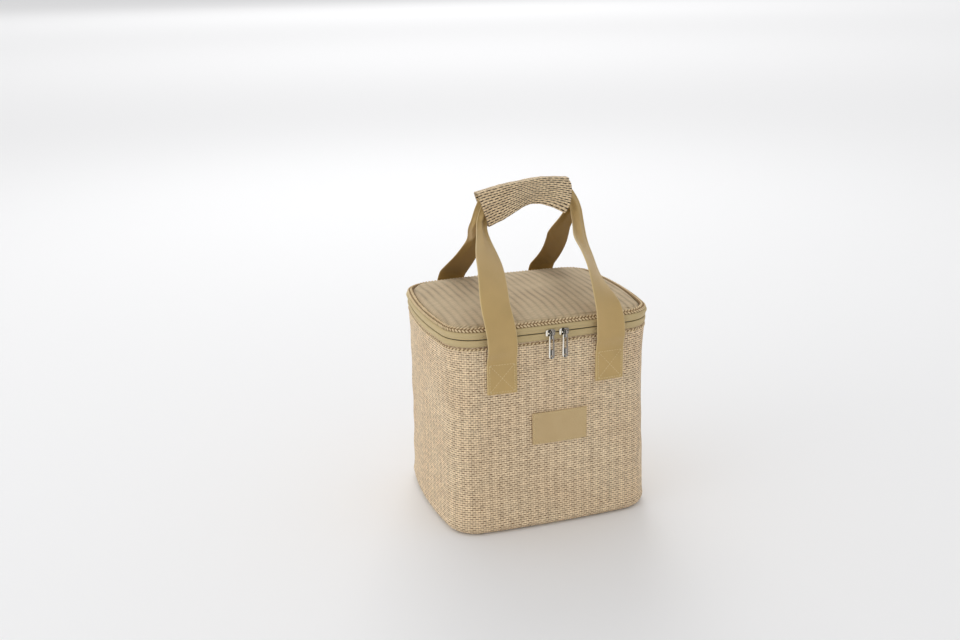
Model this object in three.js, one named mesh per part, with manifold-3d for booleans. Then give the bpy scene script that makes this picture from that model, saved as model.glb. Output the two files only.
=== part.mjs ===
// Small upright cooler bag: woven shell over foam and a foil liner, a domed lid on a fabric hinge,
// a reverse-coil zip with two sliders, and two webbing handles held together by a grip wrap.
// Millimetres, +Z up, the front panel faces -Y, the origin is the middle of the base on the ground.
import * as THREE from 'three';
import { mergeVertices } from 'three/addons/utils/BufferGeometryUtils.js';
import Module from 'manifold-3d';

const wasm = await Module();
wasm.setup();

// Plan outline at the zip: four shallow bows joined by round corners
const WIDTH = 240;
const DEPTH = 204;
const FRONT_BOW = 1250;
const SIDE_BOW = 450;
const CORNER = 34;

// Heights: the zip sits on the woven side and the lid's seam on the zip
const BODY_TOP = 213.4;
const ZIP_RISE = 8.2;
const SEAM_RISE = 11.8;
const ZIP_Z = BODY_TOP + ZIP_RISE;
const LID_SEAM_Z = ZIP_Z + SEAM_RISE;
const LID_DOME = 5;
const DOME_FLATNESS = 6;
const DOME_SHOULDER = 0.7;

// Material thicknesses and the clearance between touching pieces
const FABRIC = 1.6;
const FOAM = 5;
const LINER = 0.8;
const BOARD = 2;
const TAPE = 0.9;
const CLEAR = 0.3;

// How far the woven side stands outside the plan outline at its foot, waist and top
const FOOT_FLARE = 1.6;
const WAIST_FLARE = -1.9;
const TOP_FLARE = -0.7;
const FOOT_RADIUS = 10;
const FOOT_STEPS = 4;

// Zip
const ZIP_GROOVE = 1.2;
const TAPE_BULGE = 1.5;
const LOWER_BULGE = 0.7;
const TAPE_TUCK = 1;
const BULGE_SKEW = 2;
const TAPE_STEPS = 3;
const COIL_HEIGHT = 2;
const COIL_DEPTH = 1.5;
const COIL_CORNER = 0.4;

// Lid edge
const SEAM_INSET = 6.8;
const BAND_DROP = 3.6;
const BAND_STEPS = 4;
const BINDING_DEPTH = 8;
const LID_BINDING = 3.8;

// Webbing handles
const WEB_WIDTH = 32;
const WEB = 1.8;
const HANDLE_X = 60;
const PATCH_LENGTH = 34;
const PATCH_BOTTOM = 161;
const PATCH_LAYER = 1.4;
const PATCH_BEND = 1;
const FRONT_KNEE = { z: 248, lean: 30, down: 13, up: 56 };
const BACK_KNEE = { z: 240, lean: 50, down: 13, up: 45 };
const CORNER_REACH = 14;
const STRAP_BOW = 2;

// The webbing gathers and sinks where it leaves the grip, then spreads again down each leg
const GATHERED = 14;
const GATHER_RUN = 14;
const GATHER_SINK = 8;
const SHORT_SPREAD = { from: 8, over: 70 };
const LONG_SPREAD = { from: 30, over: 110 };

// Grip wrap
const GRIP_X = 3;
const GRIP_Y = 8;
const GRIP_Z = 346;
const GRIP_RADIUS = 150;
const WRAP_HALF = 48;
const GRIP_HALF = 54;
const STRAP_GAP = 1;
const STAGGER = 3;
const WRAP_CLOTH = 1.8;
const WRAP_ROOM = 6;
const HOOK_STRIP = 0.8;
const LAP_WIDTH = 10;
const GRIP_PAD = 2.6;
const PAD_MARGIN = 5;
const WRAP_ROUND = 5;
const WRAP_INSET = 3;
const LAP_BEND = 0.8;

// Zip sliders and pulls
const SLIDER_X = 7.5;
const SLIDER_LENGTH = 10.4;
const SLIDER_HEIGHT = 7.6;
const SLIDER_TAIL = 6.4;
const SHOULDER_X = 1.2;
const PLATE = 1;
const CROWN_LENGTH = 8;
const CROWN_BAR = 1.3;
const CROWN_ROOM = 2.1;
const CROWN_ROUND = 1.4;
const CROWN_RAISE = 0.6;
const NOSE_ROUND = 2;
const TAIL_ROUND = 1;
const POST_LENGTH = 2.6;
const POST_INSET = 0.6;
const WELD = 0.3;
const PULL_LENGTH = 28;
const PULL_WIDTH = 6.4;
const PULL_NECK = 3.2;
const PULL_THICK = 1.3;
const PULL_RING = 1.3;
const RING_WALL = 1.2;
const PULL_SHOULDER = 2;
const PULL_TAPER = 0.45;
const SLOT_DROP = 4;
const SLOT_LENGTH = 12;
const SLOT_WIDTH = 3;
const PULL_EYE = 1.1;

// Front label, left bare
const LABEL_WIDTH = 61.6;
const LABEL_HEIGHT = 35.5;
const LABEL_X = 3.8;
const LABEL_Z = 115.8;
const LABEL = 1.2;

// Number of straight steps on each arc of the outline
const BOW_STEPS = 8;
const SIDE_STEPS = 6;
const CORNER_STEPS = 6;
const LABEL_STEPS = 6;
const GRIP_STEPS = 6;
const GATHER_STEPS = 4;
const WRAP_STEPS = 10;
const WRAP_CORNER_STEPS = 2;
const RING_SIDES = 16;
const UPPER_LEG_STEPS = 20;
const LOWER_LEG_STEPS = 6;

const KHAKI = { color: 0xb59c63, roughness: 0.75, metalness: 0 };
const STRAW = { color: 0xb99f80, roughness: 0.9, metalness: 0 };
const NICKEL = { color: 0xc8c8c4, roughness: 0.25, metalness: 1 };
const FOIL = { color: 0xc9ccce, roughness: 0.4, metalness: 0.3 };
const WHITE_FOAM = { color: 0xe8e6df, roughness: 0.9, metalness: 0 };
const BLACK = { color: 0x3a3833, roughness: 0.8, metalness: 0 };

const bag = new THREE.Group();
const v3 = (x, y, z) => new THREE.Vector3(x, y, z);
const mix = (a, b, t) => a + (b - a) * t;

// Eased share: level at 0 and at 1
function ease(share) {
  const t = Math.min(Math.max(share, 0), 1);
  return t * t * (3 - 2 * t);
}

const degrees = Math.PI / 180;

// Names a geometry, gives it its material and adds it to the object
function addPiece(name, geometry, look) {
  const mesh = new THREE.Mesh(geometry, new THREE.MeshStandardMaterial(look));
  mesh.name = name;
  bag.add(mesh);
}

// A closed geometry from points and triangles, turned so that its faces point out
function closedGeometry(points, faces) {
  let volume = 0;
  for (const [a, b, c] of faces) {
    volume += points[a].dot(points[b].clone().cross(points[c]));
  }
  const turned = volume < 0 ? faces.map(([a, b, c]) => [a, c, b]) : faces;
  const geometry = new THREE.BufferGeometry();
  geometry.setAttribute('position', new THREE.Float32BufferAttribute(points.flatMap((p) => p.toArray()), 3));
  geometry.setIndex(turned.flat());
  geometry.computeVertexNormals();
  return geometry;
}

// Joins loops of equal length in order; each end is closed by a fan on its middle
function loft(loops) {
  const count = loops[0].length;
  const points = loops.flat();
  const faces = [];
  for (let k = 0; k + 1 < loops.length; k += 1) {
    for (let i = 0; i < count; i += 1) {
      const a = k * count + i;
      const b = k * count + ((i + 1) % count);
      faces.push([a, b, b + count], [a, b + count, a + count]);
    }
  }
  for (const k of [0, loops.length - 1]) {
    const middle = loops[k].reduce((sum, p) => sum.add(p), v3(0, 0, 0)).divideScalar(count);
    const hub = points.push(middle) - 1;
    for (let i = 0; i < count; i += 1) {
      const a = k * count + i;
      const b = k * count + ((i + 1) % count);
      faces.push(k === 0 ? [a, hub, b] : [a, b, hub]);
    }
  }
  return closedGeometry(points, faces);
}

// Sweeps a flat section through frames that place its (u, v) points; open sweeps get flat ends
function sweep(section, frames, closed) {
  const count = section.length;
  const points = frames.flatMap((place) => section.map(([u, v]) => place(u, v)));
  const faces = [];
  const spans = closed ? frames.length : frames.length - 1;
  for (let k = 0; k < spans; k += 1) {
    const here = k * count;
    const next = ((k + 1) % frames.length) * count;
    for (let i = 0; i < count; i += 1) {
      const j = (i + 1) % count;
      faces.push([here + i, here + j, next + j], [here + i, next + j, next + i]);
    }
  }
  if (!closed) {
    const outline = section.map(([u, v]) => new THREE.Vector2(u, v));
    const cap = THREE.ShapeUtils.triangulateShape(outline, []);
    const area = (corners) => THREE.ShapeUtils.area(corners.map((i) => outline[i]));
    const capArea = cap.reduce((sum, corners) => sum + area(corners), 0);
    const alike = capArea * THREE.ShapeUtils.area(outline) > 0;
    const last = (frames.length - 1) * count;
    for (const [a, b, c] of cap) {
      const [i, j, k] = alike ? [a, b, c] : [a, c, b];
      faces.push([i, k, j], [last + i, last + j, last + k]);
    }
  }
  return closedGeometry(points, faces);
}

// Points on a round corner of a section; the two directions are counted in quarter turns
function roundCorner(u, v, radius, from, to, steps) {
  return Array.from({ length: steps + 1 }, (_, k) => {
    const angle = mix(from, to, k / steps) * (Math.PI / 2);
    return [u + radius * Math.cos(angle), v + radius * Math.sin(angle)];
  });
}

// One arc of the plan outline as stations: a point and its outward normal
function arcStations(x, y, radius, from, to, steps) {
  return Array.from({ length: steps }, (_, i) => {
    const angle = mix(from, to, i / steps);
    const nx = Math.cos(angle);
    const ny = Math.sin(angle);
    return { x: x + radius * nx, y: y + radius * ny, nx, ny };
  });
}

// The corner arcs touch both bows, so each centre lies on the bows' inner parallels
const bowY = DEPTH / 2 - FRONT_BOW;
const bowX = WIDTH / 2 - SIDE_BOW;

function cornerCentre() {
  const long = FRONT_BOW - CORNER;
  const short = SIDE_BOW - CORNER;
  const span = Math.hypot(bowX, bowY);
  const along = (long * long - short * short + span * span) / (2 * span);
  const across = Math.sqrt(long * long - along * along);
  const ux = bowX / span;
  const uy = -bowY / span;
  return { x: ux * along + uy * across, y: bowY + uy * along - ux * across };
}

const corner = cornerCentre();
const sideAngle = Math.atan2(corner.y, corner.x - bowX);
const bowAngle = Math.atan2(corner.y - bowY, corner.x);

// Stations run anticlockwise from the middle of the back
function planStations() {
  const halfBow = BOW_STEPS / 2;
  const half = Math.PI / 2;
  return [
    ...arcStations(0, bowY, FRONT_BOW, half, Math.PI - bowAngle, halfBow),
    ...arcStations(-corner.x, corner.y, CORNER, Math.PI - bowAngle, Math.PI - sideAngle, CORNER_STEPS),
    ...arcStations(-bowX, 0, SIDE_BOW, Math.PI - sideAngle, Math.PI + sideAngle, SIDE_STEPS),
    ...arcStations(-corner.x, -corner.y, CORNER, Math.PI + sideAngle, Math.PI + bowAngle, CORNER_STEPS),
    ...arcStations(0, -bowY, FRONT_BOW, Math.PI + bowAngle, 2 * Math.PI - bowAngle, BOW_STEPS),
    ...arcStations(corner.x, -corner.y, CORNER, -bowAngle, -sideAngle, CORNER_STEPS),
    ...arcStations(bowX, 0, SIDE_BOW, -sideAngle, sideAngle, SIDE_STEPS),
    ...arcStations(corner.x, corner.y, CORNER, sideAngle, bowAngle, CORNER_STEPS),
    ...arcStations(0, bowY, FRONT_BOW, bowAngle, half, halfBow),
  ];
}

const plan = planStations();
const zipStart = BOW_STEPS / 2;
const zipStations = plan.slice(zipStart, plan.length - zipStart + 1);
const hingeStations = [...plan.slice(plan.length - zipStart), ...plan.slice(0, zipStart + 1)];

// A frame that reads u as the offset outside the outline and v as the height
const planFrame = (s) => (u, v) => v3(s.x + s.nx * u, s.y + s.ny * u, v);
const ring = (offset, z) => plan.map((s) => planFrame(s)(offset, z));
const roundThePlan = (section) => sweep(section, plan.map(planFrame), true);
const alongStations = (section, stations) => sweep(section, stations.map(planFrame), false);

// A station on the front bow at a given x, looking out of the front panel
function frontStation(x) {
  const nx = x / FRONT_BOW;
  const ny = -Math.sqrt(1 - nx * nx);
  return { x, y: -bowY + FRONT_BOW * ny, nx, ny };
}

// Offset of the woven side outside the plan outline at a height
function sideOffset(z) {
  const t = z / BODY_TOP;
  const foot = FOOT_FLARE * (1 - t) * (1 - 2 * t);
  return foot + WAIST_FLARE * 4 * t * (1 - t) + TOP_FLARE * t * (2 * t - 1);
}

const sideLevels = [55, 110, 165];
const footCentre = FOOT_FLARE - FOOT_RADIUS;

// The woven side turns under the base on a soft radius
function sideFabric() {
  const outer = roundCorner(footCentre, FOOT_RADIUS, FOOT_RADIUS, -1, 0, FOOT_STEPS);
  const inner = roundCorner(footCentre, FOOT_RADIUS, FOOT_RADIUS - FABRIC, -1, 0, FOOT_STEPS);
  const levels = [...sideLevels, BODY_TOP];
  levels.forEach((z) => outer.push([sideOffset(z), z]));
  levels.forEach((z) => inner.push([sideOffset(z) - FABRIC, z]));
  addPiece('body_side_fabric', roundThePlan([...outer, ...inner.reverse()]), STRAW);
}

// A flat sheet with the plan outline, moved in by a distance
function planSheet(inset, bottom, thickness) {
  return loft([ring(-inset, bottom), ring(-inset, bottom + thickness)]);
}

const boardBottom = FABRIC + CLEAR;
const baseFoamBottom = boardBottom + BOARD + CLEAR;
const linerBottom = baseFoamBottom + FOAM + CLEAR;
const baseInset = -footCentre + CLEAR;
const foamFace = FABRIC + CLEAR;
const linerFace = foamFace + FOAM + CLEAR;
const bindingFace = linerFace + LINER + CLEAR;
const bindingTop = BODY_TOP + LINER;
const foamTop = BODY_TOP - CLEAR;

function base() {
  addPiece('base_fabric', planSheet(baseInset, 0, FABRIC), STRAW);
  addPiece('base_board', planSheet(baseInset, boardBottom, BOARD), BLACK);
  addPiece('base_foam', planSheet(baseInset, baseFoamBottom, FOAM), WHITE_FOAM);
}

// Foam between the woven side and the liner
function wallFoam() {
  const levels = [linerBottom, ...sideLevels, foamTop];
  const outer = levels.map((z) => [sideOffset(z) - foamFace, z]);
  const inner = levels.map((z) => [sideOffset(z) - foamFace - FOAM, z]);
  addPiece('wall_foam', roundThePlan([...outer, ...inner.reverse()]), WHITE_FOAM);
}

function liner() {
  const levels = [linerBottom, ...sideLevels, foamTop];
  const outer = levels.map((z) => ring(sideOffset(z) - linerFace, z));
  const floor = linerBottom + LINER;
  const inner = [floor, ...sideLevels, foamTop].map((z) => ring(sideOffset(z) - linerFace - LINER, z));
  addPiece('liner_tub', loft([...outer, ...inner.reverse()]), FOIL);
}

// Bias tape over the raw edges of foam and liner
function rimBinding() {
  const outside = TOP_FLARE - foamFace;
  const inside = TOP_FLARE - bindingFace;
  addPiece('rim_binding', roundThePlan([
    [outside, BODY_TOP],
    [outside, bindingTop],
    [inside - LINER, bindingTop],
    [inside - LINER, BODY_TOP - BINDING_DEPTH],
    [inside, BODY_TOP - BINDING_DEPTH],
    [inside, BODY_TOP],
  ]), KHAKI);
}

const grooveLow = ZIP_Z - ZIP_GROOVE / 2;
const grooveHigh = ZIP_Z + ZIP_GROOVE / 2;
const tapeFoot = BODY_TOP + CLEAR;
const bandLow = LID_SEAM_Z - BAND_DROP;
const tapeTop = bandLow - CLEAR;
const coilFace = TAPE + CLEAR;

// A strip that keeps one thickness behind its outer face points
const strip = (face, thickness) => [...face, ...face.map(([u, v]) => [u - thickness, v]).reverse()];

// Outer face of a tape that swells between its edges; the first may be tucked in, a skew lifts the crest
function swollenFace(low, high, bulge, tuck, skew) {
  return Array.from({ length: TAPE_STEPS + 1 }, (_, k) => {
    const t = k / TAPE_STEPS;
    return [bulge * Math.sin(Math.PI * t ** skew) - tuck * (1 - t), mix(low, high, t)];
  });
}

function zipTapes() {
  const lower = swollenFace(tapeFoot, grooveLow, LOWER_BULGE, TAPE_TUCK, 1);
  const upper = swollenFace(grooveHigh, tapeTop, TAPE_BULGE, 0, BULGE_SKEW);
  addPiece('lower_zip_tape', alongStations(strip(lower, TAPE), zipStations), KHAKI);
  addPiece('upper_zip_tape', alongStations(strip(upper, TAPE), zipStations), KHAKI);
}

// The coils are hidden behind the tape edges on a reverse-coil zip
function zipCoils() {
  const bead = (low) => [
    [-coilFace, low + COIL_CORNER],
    [-coilFace, low + COIL_HEIGHT - COIL_CORNER],
    [-coilFace - COIL_DEPTH / 2, low + COIL_HEIGHT],
    [-coilFace - COIL_DEPTH, low + COIL_HEIGHT - COIL_CORNER],
    [-coilFace - COIL_DEPTH, low + COIL_CORNER],
    [-coilFace - COIL_DEPTH / 2, low],
  ];
  addPiece('lower_zip_coil', alongStations(bead(grooveLow - COIL_HEIGHT), zipStations), KHAKI);
  addPiece('upper_zip_coil', alongStations(bead(grooveHigh), zipStations), KHAKI);
}

// The back of the lid has no zip: woven strips meet at the fold line
function hingeStrips() {
  const inFromZip = (list) => list.map((s, i) => {
    const end = i === 0 ? 1 : i === list.length - 1 ? -1 : 0;
    return end === 0 ? s : { ...s, x: s.x + Math.sign(-s.x) * CLEAR * 2 };
  });
  const stations = inFromZip(hingeStations);
  const lower = strip([[0, tapeFoot], [0, ZIP_Z - CLEAR / 2]], FABRIC);
  const upper = strip([[0, ZIP_Z + CLEAR / 2], [0, tapeTop]], FABRIC);
  addPiece('hinge_strip_lower', alongStations(lower, stations), STRAW);
  addPiece('hinge_strip_upper', alongStations(upper, stations), STRAW);
}

// Lid panel heights rise quickly inside the seam and stay nearly flat in the middle
const panelRings = [1, 0.97, 0.9, 0.75, 0.45];
const hiddenRings = [1, 0.9, 0.6];
const domeHeight = (share) => LID_DOME * (1 - share ** DOME_FLATNESS) ** DOME_SHOULDER;

function domedSheet(inset, top, thickness, rings) {
  const edge = ring(-inset, 0);
  const level = (share, z) => edge.map((p) => v3(p.x * share, p.y * share, z + domeHeight(share)));
  const above = rings.map((share) => level(share, top));
  const below = rings.map((share) => level(share, top - thickness));
  return loft([...below.reverse(), ...above]);
}

// A quarter ellipse from the seam down to the zip, moved in by a thickness
function bandArc(inward) {
  return Array.from({ length: BAND_STEPS + 1 }, (_, k) => {
    const angle = (k / BAND_STEPS) * (Math.PI / 2);
    const reach = SEAM_INSET - inward;
    const rise = BAND_DROP - inward;
    return [-SEAM_INSET + reach * Math.sin(angle), bandLow + rise * Math.cos(angle)];
  });
}

const panelInset = SEAM_INSET + CLEAR;
const lidFoamTop = LID_SEAM_Z - FABRIC - CLEAR;
const lidLinerTop = lidFoamTop - FOAM - CLEAR;

function lid() {
  addPiece('lid_top_panel', domedSheet(panelInset, LID_SEAM_Z, FABRIC, panelRings), STRAW);
  addPiece('lid_foam', domedSheet(panelInset + FABRIC, lidFoamTop, FOAM, hiddenRings), WHITE_FOAM);
  addPiece('lid_liner', domedSheet(panelInset + FABRIC, lidLinerTop, LINER, hiddenRings), FOIL);
  addPiece('lid_side_band', roundThePlan([...bandArc(0), ...bandArc(FABRIC).reverse()]), STRAW);
  const face = -FABRIC - 2 * CLEAR;
  addPiece('lid_binding', roundThePlan([
    [face, bandLow - CLEAR],
    [face, bandLow - LID_BINDING],
    [face - LINER, bandLow - LID_BINDING],
    [face - LINER, bandLow - CLEAR],
  ]), KHAKI);
}

const patchTop = PATCH_BOTTOM + PATCH_LENGTH;
const patchWall = sideOffset(patchTop) + CLEAR;
const patchFace = patchWall + 2 * PATCH_LAYER + CLEAR / 2;

// Sewn end of a strap: webbing folded under itself, so two layers lie on the panel
function strapEnd(name, x, fromFront) {
  const station = frontStation(x);
  const low = PATCH_BOTTOM;
  const high = patchTop;
  const inner = patchWall + PATCH_LAYER;
  const outer = inner + CLEAR / 2;
  const section = [
    [patchWall, high],
    [patchWall, low + PATCH_BEND],
    [patchWall + PATCH_BEND, low],
    [patchFace - PATCH_BEND, low],
    [patchFace, low + PATCH_BEND],
    [patchFace, high],
    [outer, high],
    [outer, low + PATCH_LAYER],
    [inner, low + PATCH_LAYER],
    [inner, high],
  ];
  const frames = [-0.5, 0.5].map((side) => (u, v) => {
    const px = station.x + station.nx * u - station.ny * side * WEB_WIDTH;
    const py = station.y + station.ny * u + station.nx * side * WEB_WIDTH;
    return v3(px, fromFront ? py : -py, v);
  });
  addPiece(name, sweep(section, frames, false), KHAKI);
}

function label() {
  const low = LABEL_Z - LABEL_HEIGHT / 2;
  const high = LABEL_Z + LABEL_HEIGHT / 2;
  const wall = Math.max(sideOffset(low), sideOffset(high)) + CLEAR;
  const shares = Array.from({ length: LABEL_STEPS + 1 }, (_, i) => i / LABEL_STEPS - 0.5);
  const stations = shares.map((share) => frontStation(LABEL_X + LABEL_WIDTH * share));
  const section = [[wall, low], [wall + LABEL, low], [wall + LABEL, high], [wall, high]];
  addPiece('front_label', alongStations(section, stations), KHAKI);
}

// Height and distance from the middle at which a strap's free part starts, just clear of its patch
const innerEdge = frontStation(HANDLE_X - WEB_WIDTH / 2);
const strapY = -innerEdge.y + patchFace + CLEAR + WEB / 2;
const strapFootZ = patchTop + CLEAR;

// A point on the middle line of a strap inside the grip, which arches over the hand
function gripPoint(side, angle) {
  return v3(
    GRIP_X + GRIP_RADIUS * Math.sin(angle),
    GRIP_Y + side * (STRAP_GAP + WEB / 2),
    GRIP_Z - GRIP_RADIUS * (1 - Math.cos(angle)),
  );
}

// The straps leave the grip one outside the other, so they pass without touching
const gripEnd = (side, mirror) => (mirror * (GRIP_HALF - side * mirror * STAGGER)) / GRIP_RADIUS;
const gripTurn = (angle) => v3(Math.sin(angle), 0, Math.cos(angle));
const gatherSlope = Math.atan((2 * GATHER_SINK) / GATHER_RUN);

// Middle line of a leg from the end of the grip over the lid's edge to its foot
function legPoints(side, mirror) {
  const { z, lean, down, up } = side < 0 ? FRONT_KNEE : BACK_KNEE;
  const angle = gripEnd(side, mirror);
  const start = gripPoint(side, angle).addScaledVector(gripTurn(angle), -GATHER_SINK);
  const steep = angle + mirror * gatherSlope;
  const outward = v3(Math.cos(steep), 0, -Math.sin(steep)).multiplyScalar(mirror);
  const knee = v3(mirror * HANDLE_X, side * strapY, z);
  const slant = v3(0, side * Math.sin(lean * degrees), -Math.cos(lean * degrees));
  const foot = v3(mirror * HANDLE_X, side * strapY, strapFootZ);
  const upper = new THREE.CubicBezierCurve3(
    start,
    start.clone().addScaledVector(outward, CORNER_REACH),
    knee.clone().addScaledVector(slant, -up),
    knee,
  );
  const lower = new THREE.CubicBezierCurve3(
    knee,
    knee.clone().addScaledVector(slant, down),
    foot.clone().add(v3(0, side * STRAP_BOW, down)),
    foot,
  );
  const sample = (curve, steps) => Array.from({ length: steps }, (_, i) => curve.getPoint((i + 1) / steps));
  return [...sample(upper, UPPER_LEG_STEPS), ...sample(lower, LOWER_LEG_STEPS)];
}

// Distance of each point of a leg from the end of the grip
function legLengths(points, before) {
  let total = 0;
  return points.map((p, i) => {
    total += p.distanceTo(i === 0 ? before : points[i - 1]);
    return total;
  });
}

// Width directions down a leg: carried from the grip, then eased so that the foot lies flat
function legWidths(points, lengths, near, mirror) {
  const along = points.map((p, i) => {
    const from = i === 0 ? near.p : points[i - 1];
    const to = points[Math.min(i + 1, points.length - 1)];
    return to.clone().sub(from).normalize();
  });
  let width = near.w;
  const carried = along.map((direction) => {
    width = width.clone().addScaledVector(direction, -width.dot(direction)).normalize();
    return width;
  });
  const flat = v3(mirror, 0, 0);
  const end = points.length - 1;
  const turn = Math.atan2(width.clone().cross(flat).dot(along[end]), width.dot(flat));
  return carried.map((w, i) => w.clone().applyAxisAngle(along[i], turn * ease(lengths[i] / lengths[end])));
}

// Share of the full width at each point of a leg
function legShares(lengths, side, mirror) {
  const { from, over } = side === mirror ? SHORT_SPREAD : LONG_SPREAD;
  return lengths.map((length) => mix(GATHERED / WEB_WIDTH, 1, ease((length - from) / over)));
}

// The part of a handle in the grip, full in the middle and gathered towards both ends
function gripPart(side) {
  const [from, to] = [gripEnd(side, -1), gripEnd(side, 1)];
  const run = GATHER_RUN / GRIP_RADIUS;
  const stops = Array.from({ length: GATHER_STEPS }, (_, i) => (i / GATHER_STEPS) * run);
  const middle = Array.from({ length: GRIP_STEPS + 1 }, (_, i) => mix(from + run, to - run, i / GRIP_STEPS));
  const angles = [...stops.map((a) => from + a), ...middle, ...stops.map((a) => to - a).reverse()];
  return angles.map((angle) => {
    const gathered = Math.max(0, 1 - Math.min(angle - from, to - angle) / run);
    const w = gripTurn(angle);
    const p = gripPoint(side, angle).addScaledVector(w, -GATHER_SINK * gathered ** 2);
    return { p, w, share: mix(1, GATHERED / WEB_WIDTH, ease(gathered)) };
  });
}

// One handle: a single length of webbing from foot to foot through the grip
function handleFrames(side) {
  const grip = gripPart(side);
  const legs = [-1, 1].map((mirror) => {
    const points = legPoints(side, mirror);
    const near = mirror < 0 ? grip[0] : grip[grip.length - 1];
    const lengths = legLengths(points, near.p);
    const widths = legWidths(points, lengths, near, mirror);
    const shares = legShares(lengths, side, mirror);
    return points.map((p, i) => ({ p, w: widths[i], share: shares[i] }));
  });
  const run = [...legs[0].reverse(), ...grip, ...legs[1]];
  return run.map(({ p, w, share }, i) => {
    const before = run[Math.max(i - 1, 0)].p;
    const after = run[Math.min(i + 1, run.length - 1)].p;
    const ahead = after.clone().sub(before).normalize();
    const across = w.clone().addScaledVector(ahead, -w.dot(ahead)).normalize();
    const thick = ahead.clone().cross(across);
    return (u, v) => p.clone().addScaledVector(across, u * share).addScaledVector(thick, v);
  });
}

const half = WEB_WIDTH / 2;
const webSection = [[-half, -WEB / 2], [half, -WEB / 2], [half, WEB / 2], [-half, WEB / 2]];

function handles() {
  addPiece('front_handle_webbing', sweep(webSection, handleFrames(-1), false), KHAKI);
  addPiece('back_handle_webbing', sweep(webSection, handleFrames(1), false), KHAKI);
}

// Frames across the grip: u towards the back, v away from the middle of the arch
function gripFrames(halfLength) {
  return Array.from({ length: WRAP_STEPS + 1 }, (_, i) => {
    const angle = mix(-1, 1, i / WRAP_STEPS) * (halfLength / GRIP_RADIUS);
    const up = gripTurn(angle);
    const x = GRIP_X + GRIP_RADIUS * Math.sin(angle);
    const z = GRIP_Z - GRIP_RADIUS * (1 - Math.cos(angle));
    return (u, v) => v3(x, GRIP_Y + u, z).addScaledVector(up, v);
  });
}

const wrapInside = half + 2 * CLEAR;
const wrapOutside = wrapInside + WRAP_CLOTH;
const lapStrips = wrapOutside + CLEAR;
const lapInside = lapStrips + 2 * HOOK_STRIP + 2 * CLEAR;
const lapOutside = lapInside + WRAP_CLOTH;
const stripStart = -WRAP_ROOM + CLEAR;
const stripEnd = stripStart + LAP_WIDTH;

// A path open to the front that goes round both back corners, alike above and below
function channel(back, height, radius) {
  const corner = roundCorner(back - radius, height - radius, radius, 1, 0, WRAP_CORNER_STEPS);
  const upper = [[-WRAP_ROOM, height], ...corner];
  return [...upper, ...upper.map(([u, v]) => [u, -v]).reverse()];
}

// The flap covers the open front of the channel and bends back under the grip
function flapSection() {
  const front = -WRAP_ROOM - CLEAR;
  const bendU = front + LAP_BEND;
  const bendV = -lapInside + LAP_BEND;
  const lapEnd = stripEnd + CLEAR;
  return [
    ...roundCorner(front, wrapOutside - WRAP_CLOTH, WRAP_CLOTH, 1, 2, WRAP_CORNER_STEPS),
    ...roundCorner(bendU, bendV, LAP_BEND + WRAP_CLOTH, 2, 3, WRAP_CORNER_STEPS),
    [lapEnd, -lapOutside],
    [lapEnd, -lapInside],
    ...roundCorner(bendU, bendV, LAP_BEND, 3, 2, WRAP_CORNER_STEPS),
  ];
}

// Hook and loop strips are flat bands, one above the other, in the lap under the grip
const fixingSection = (top) => [
  [stripStart, -top - HOOK_STRIP],
  [stripEnd, -top - HOOK_STRIP],
  [stripEnd, -top],
  [stripStart, -top],
];

// The wrap is sewn to the back strap; its flap closes the front and laps under the grip
function gripWrap() {
  const outer = channel(WRAP_ROOM + WRAP_CLOTH, wrapOutside, WRAP_ROUND);
  const inner = channel(WRAP_ROOM, wrapInside, WRAP_ROUND - WRAP_CLOTH);
  const whole = gripFrames(WRAP_HALF);
  const inset = gripFrames(WRAP_HALF - WRAP_INSET);
  const padFace = WRAP_ROOM - CLEAR;
  const padHalf = wrapInside - PAD_MARGIN;
  addPiece('grip_wrap_panel', sweep([...outer, ...inner.reverse()], whole, false), STRAW);
  addPiece('grip_pad', sweep([
    [padFace - GRIP_PAD, -padHalf],
    [padFace, -padHalf],
    [padFace, padHalf],
    [padFace - GRIP_PAD, padHalf],
  ], inset, false), WHITE_FOAM);
  addPiece('grip_wrap_flap', sweep(flapSection(), whole, false), STRAW);
  addPiece('grip_loop_strip', sweep(fixingSection(lapStrips), inset, false), BLACK);
  addPiece('grip_hook_strip', sweep(fixingSection(lapStrips + HOOK_STRIP + CLEAR), inset, false), BLACK);
}

// Geometry to solid and back, so that pieces can be joined and cut
function toSolid(geometry) {
  const bare = geometry.clone();
  bare.deleteAttribute('normal');
  bare.deleteAttribute('uv');
  const merged = mergeVertices(bare, 1e-4);
  return new wasm.Manifold(new wasm.Mesh({
    numProp: 3,
    vertProperties: new Float32Array(merged.attributes.position.array),
    triVerts: new Uint32Array(merged.index.array),
  }));
}

function fromSolid(solid) {
  const mesh = solid.getMesh();
  const geometry = new THREE.BufferGeometry();
  geometry.setAttribute('position', new THREE.Float32BufferAttribute(mesh.vertProperties, 3));
  geometry.setIndex([...mesh.triVerts]);
  geometry.computeVertexNormals();
  return geometry;
}

// A flat outline in X and Z, given thickness along Y from its front face backwards
function plateXZ(shape, front, thickness, curveSegments = 6) {
  const geometry = new THREE.ExtrudeGeometry(shape, { depth: thickness, bevelEnabled: false, curveSegments });
  geometry.rotateX(Math.PI / 2);
  geometry.translate(0, front + thickness, 0);
  return geometry;
}

function boxAt(x0, x1, y0, y1, z0, z1) {
  const geometry = new THREE.BoxGeometry(x1 - x0, y1 - y0, z1 - z0);
  geometry.translate((x0 + x1) / 2, (y0 + y1) / 2, (z0 + z1) / 2);
  return geometry;
}

// Depths from the outline's front: plates either side of tape and coil
const plateBack = LOWER_BULGE + CLEAR;
const coilBack = coilFace + COIL_DEPTH + CLEAR;
const crownFace = plateBack + PLATE + CROWN_ROOM + CROWN_BAR;
const pivotDepth = crownFace - CROWN_BAR / 2;
const pivotZ = ZIP_Z + CROWN_RAISE;

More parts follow.
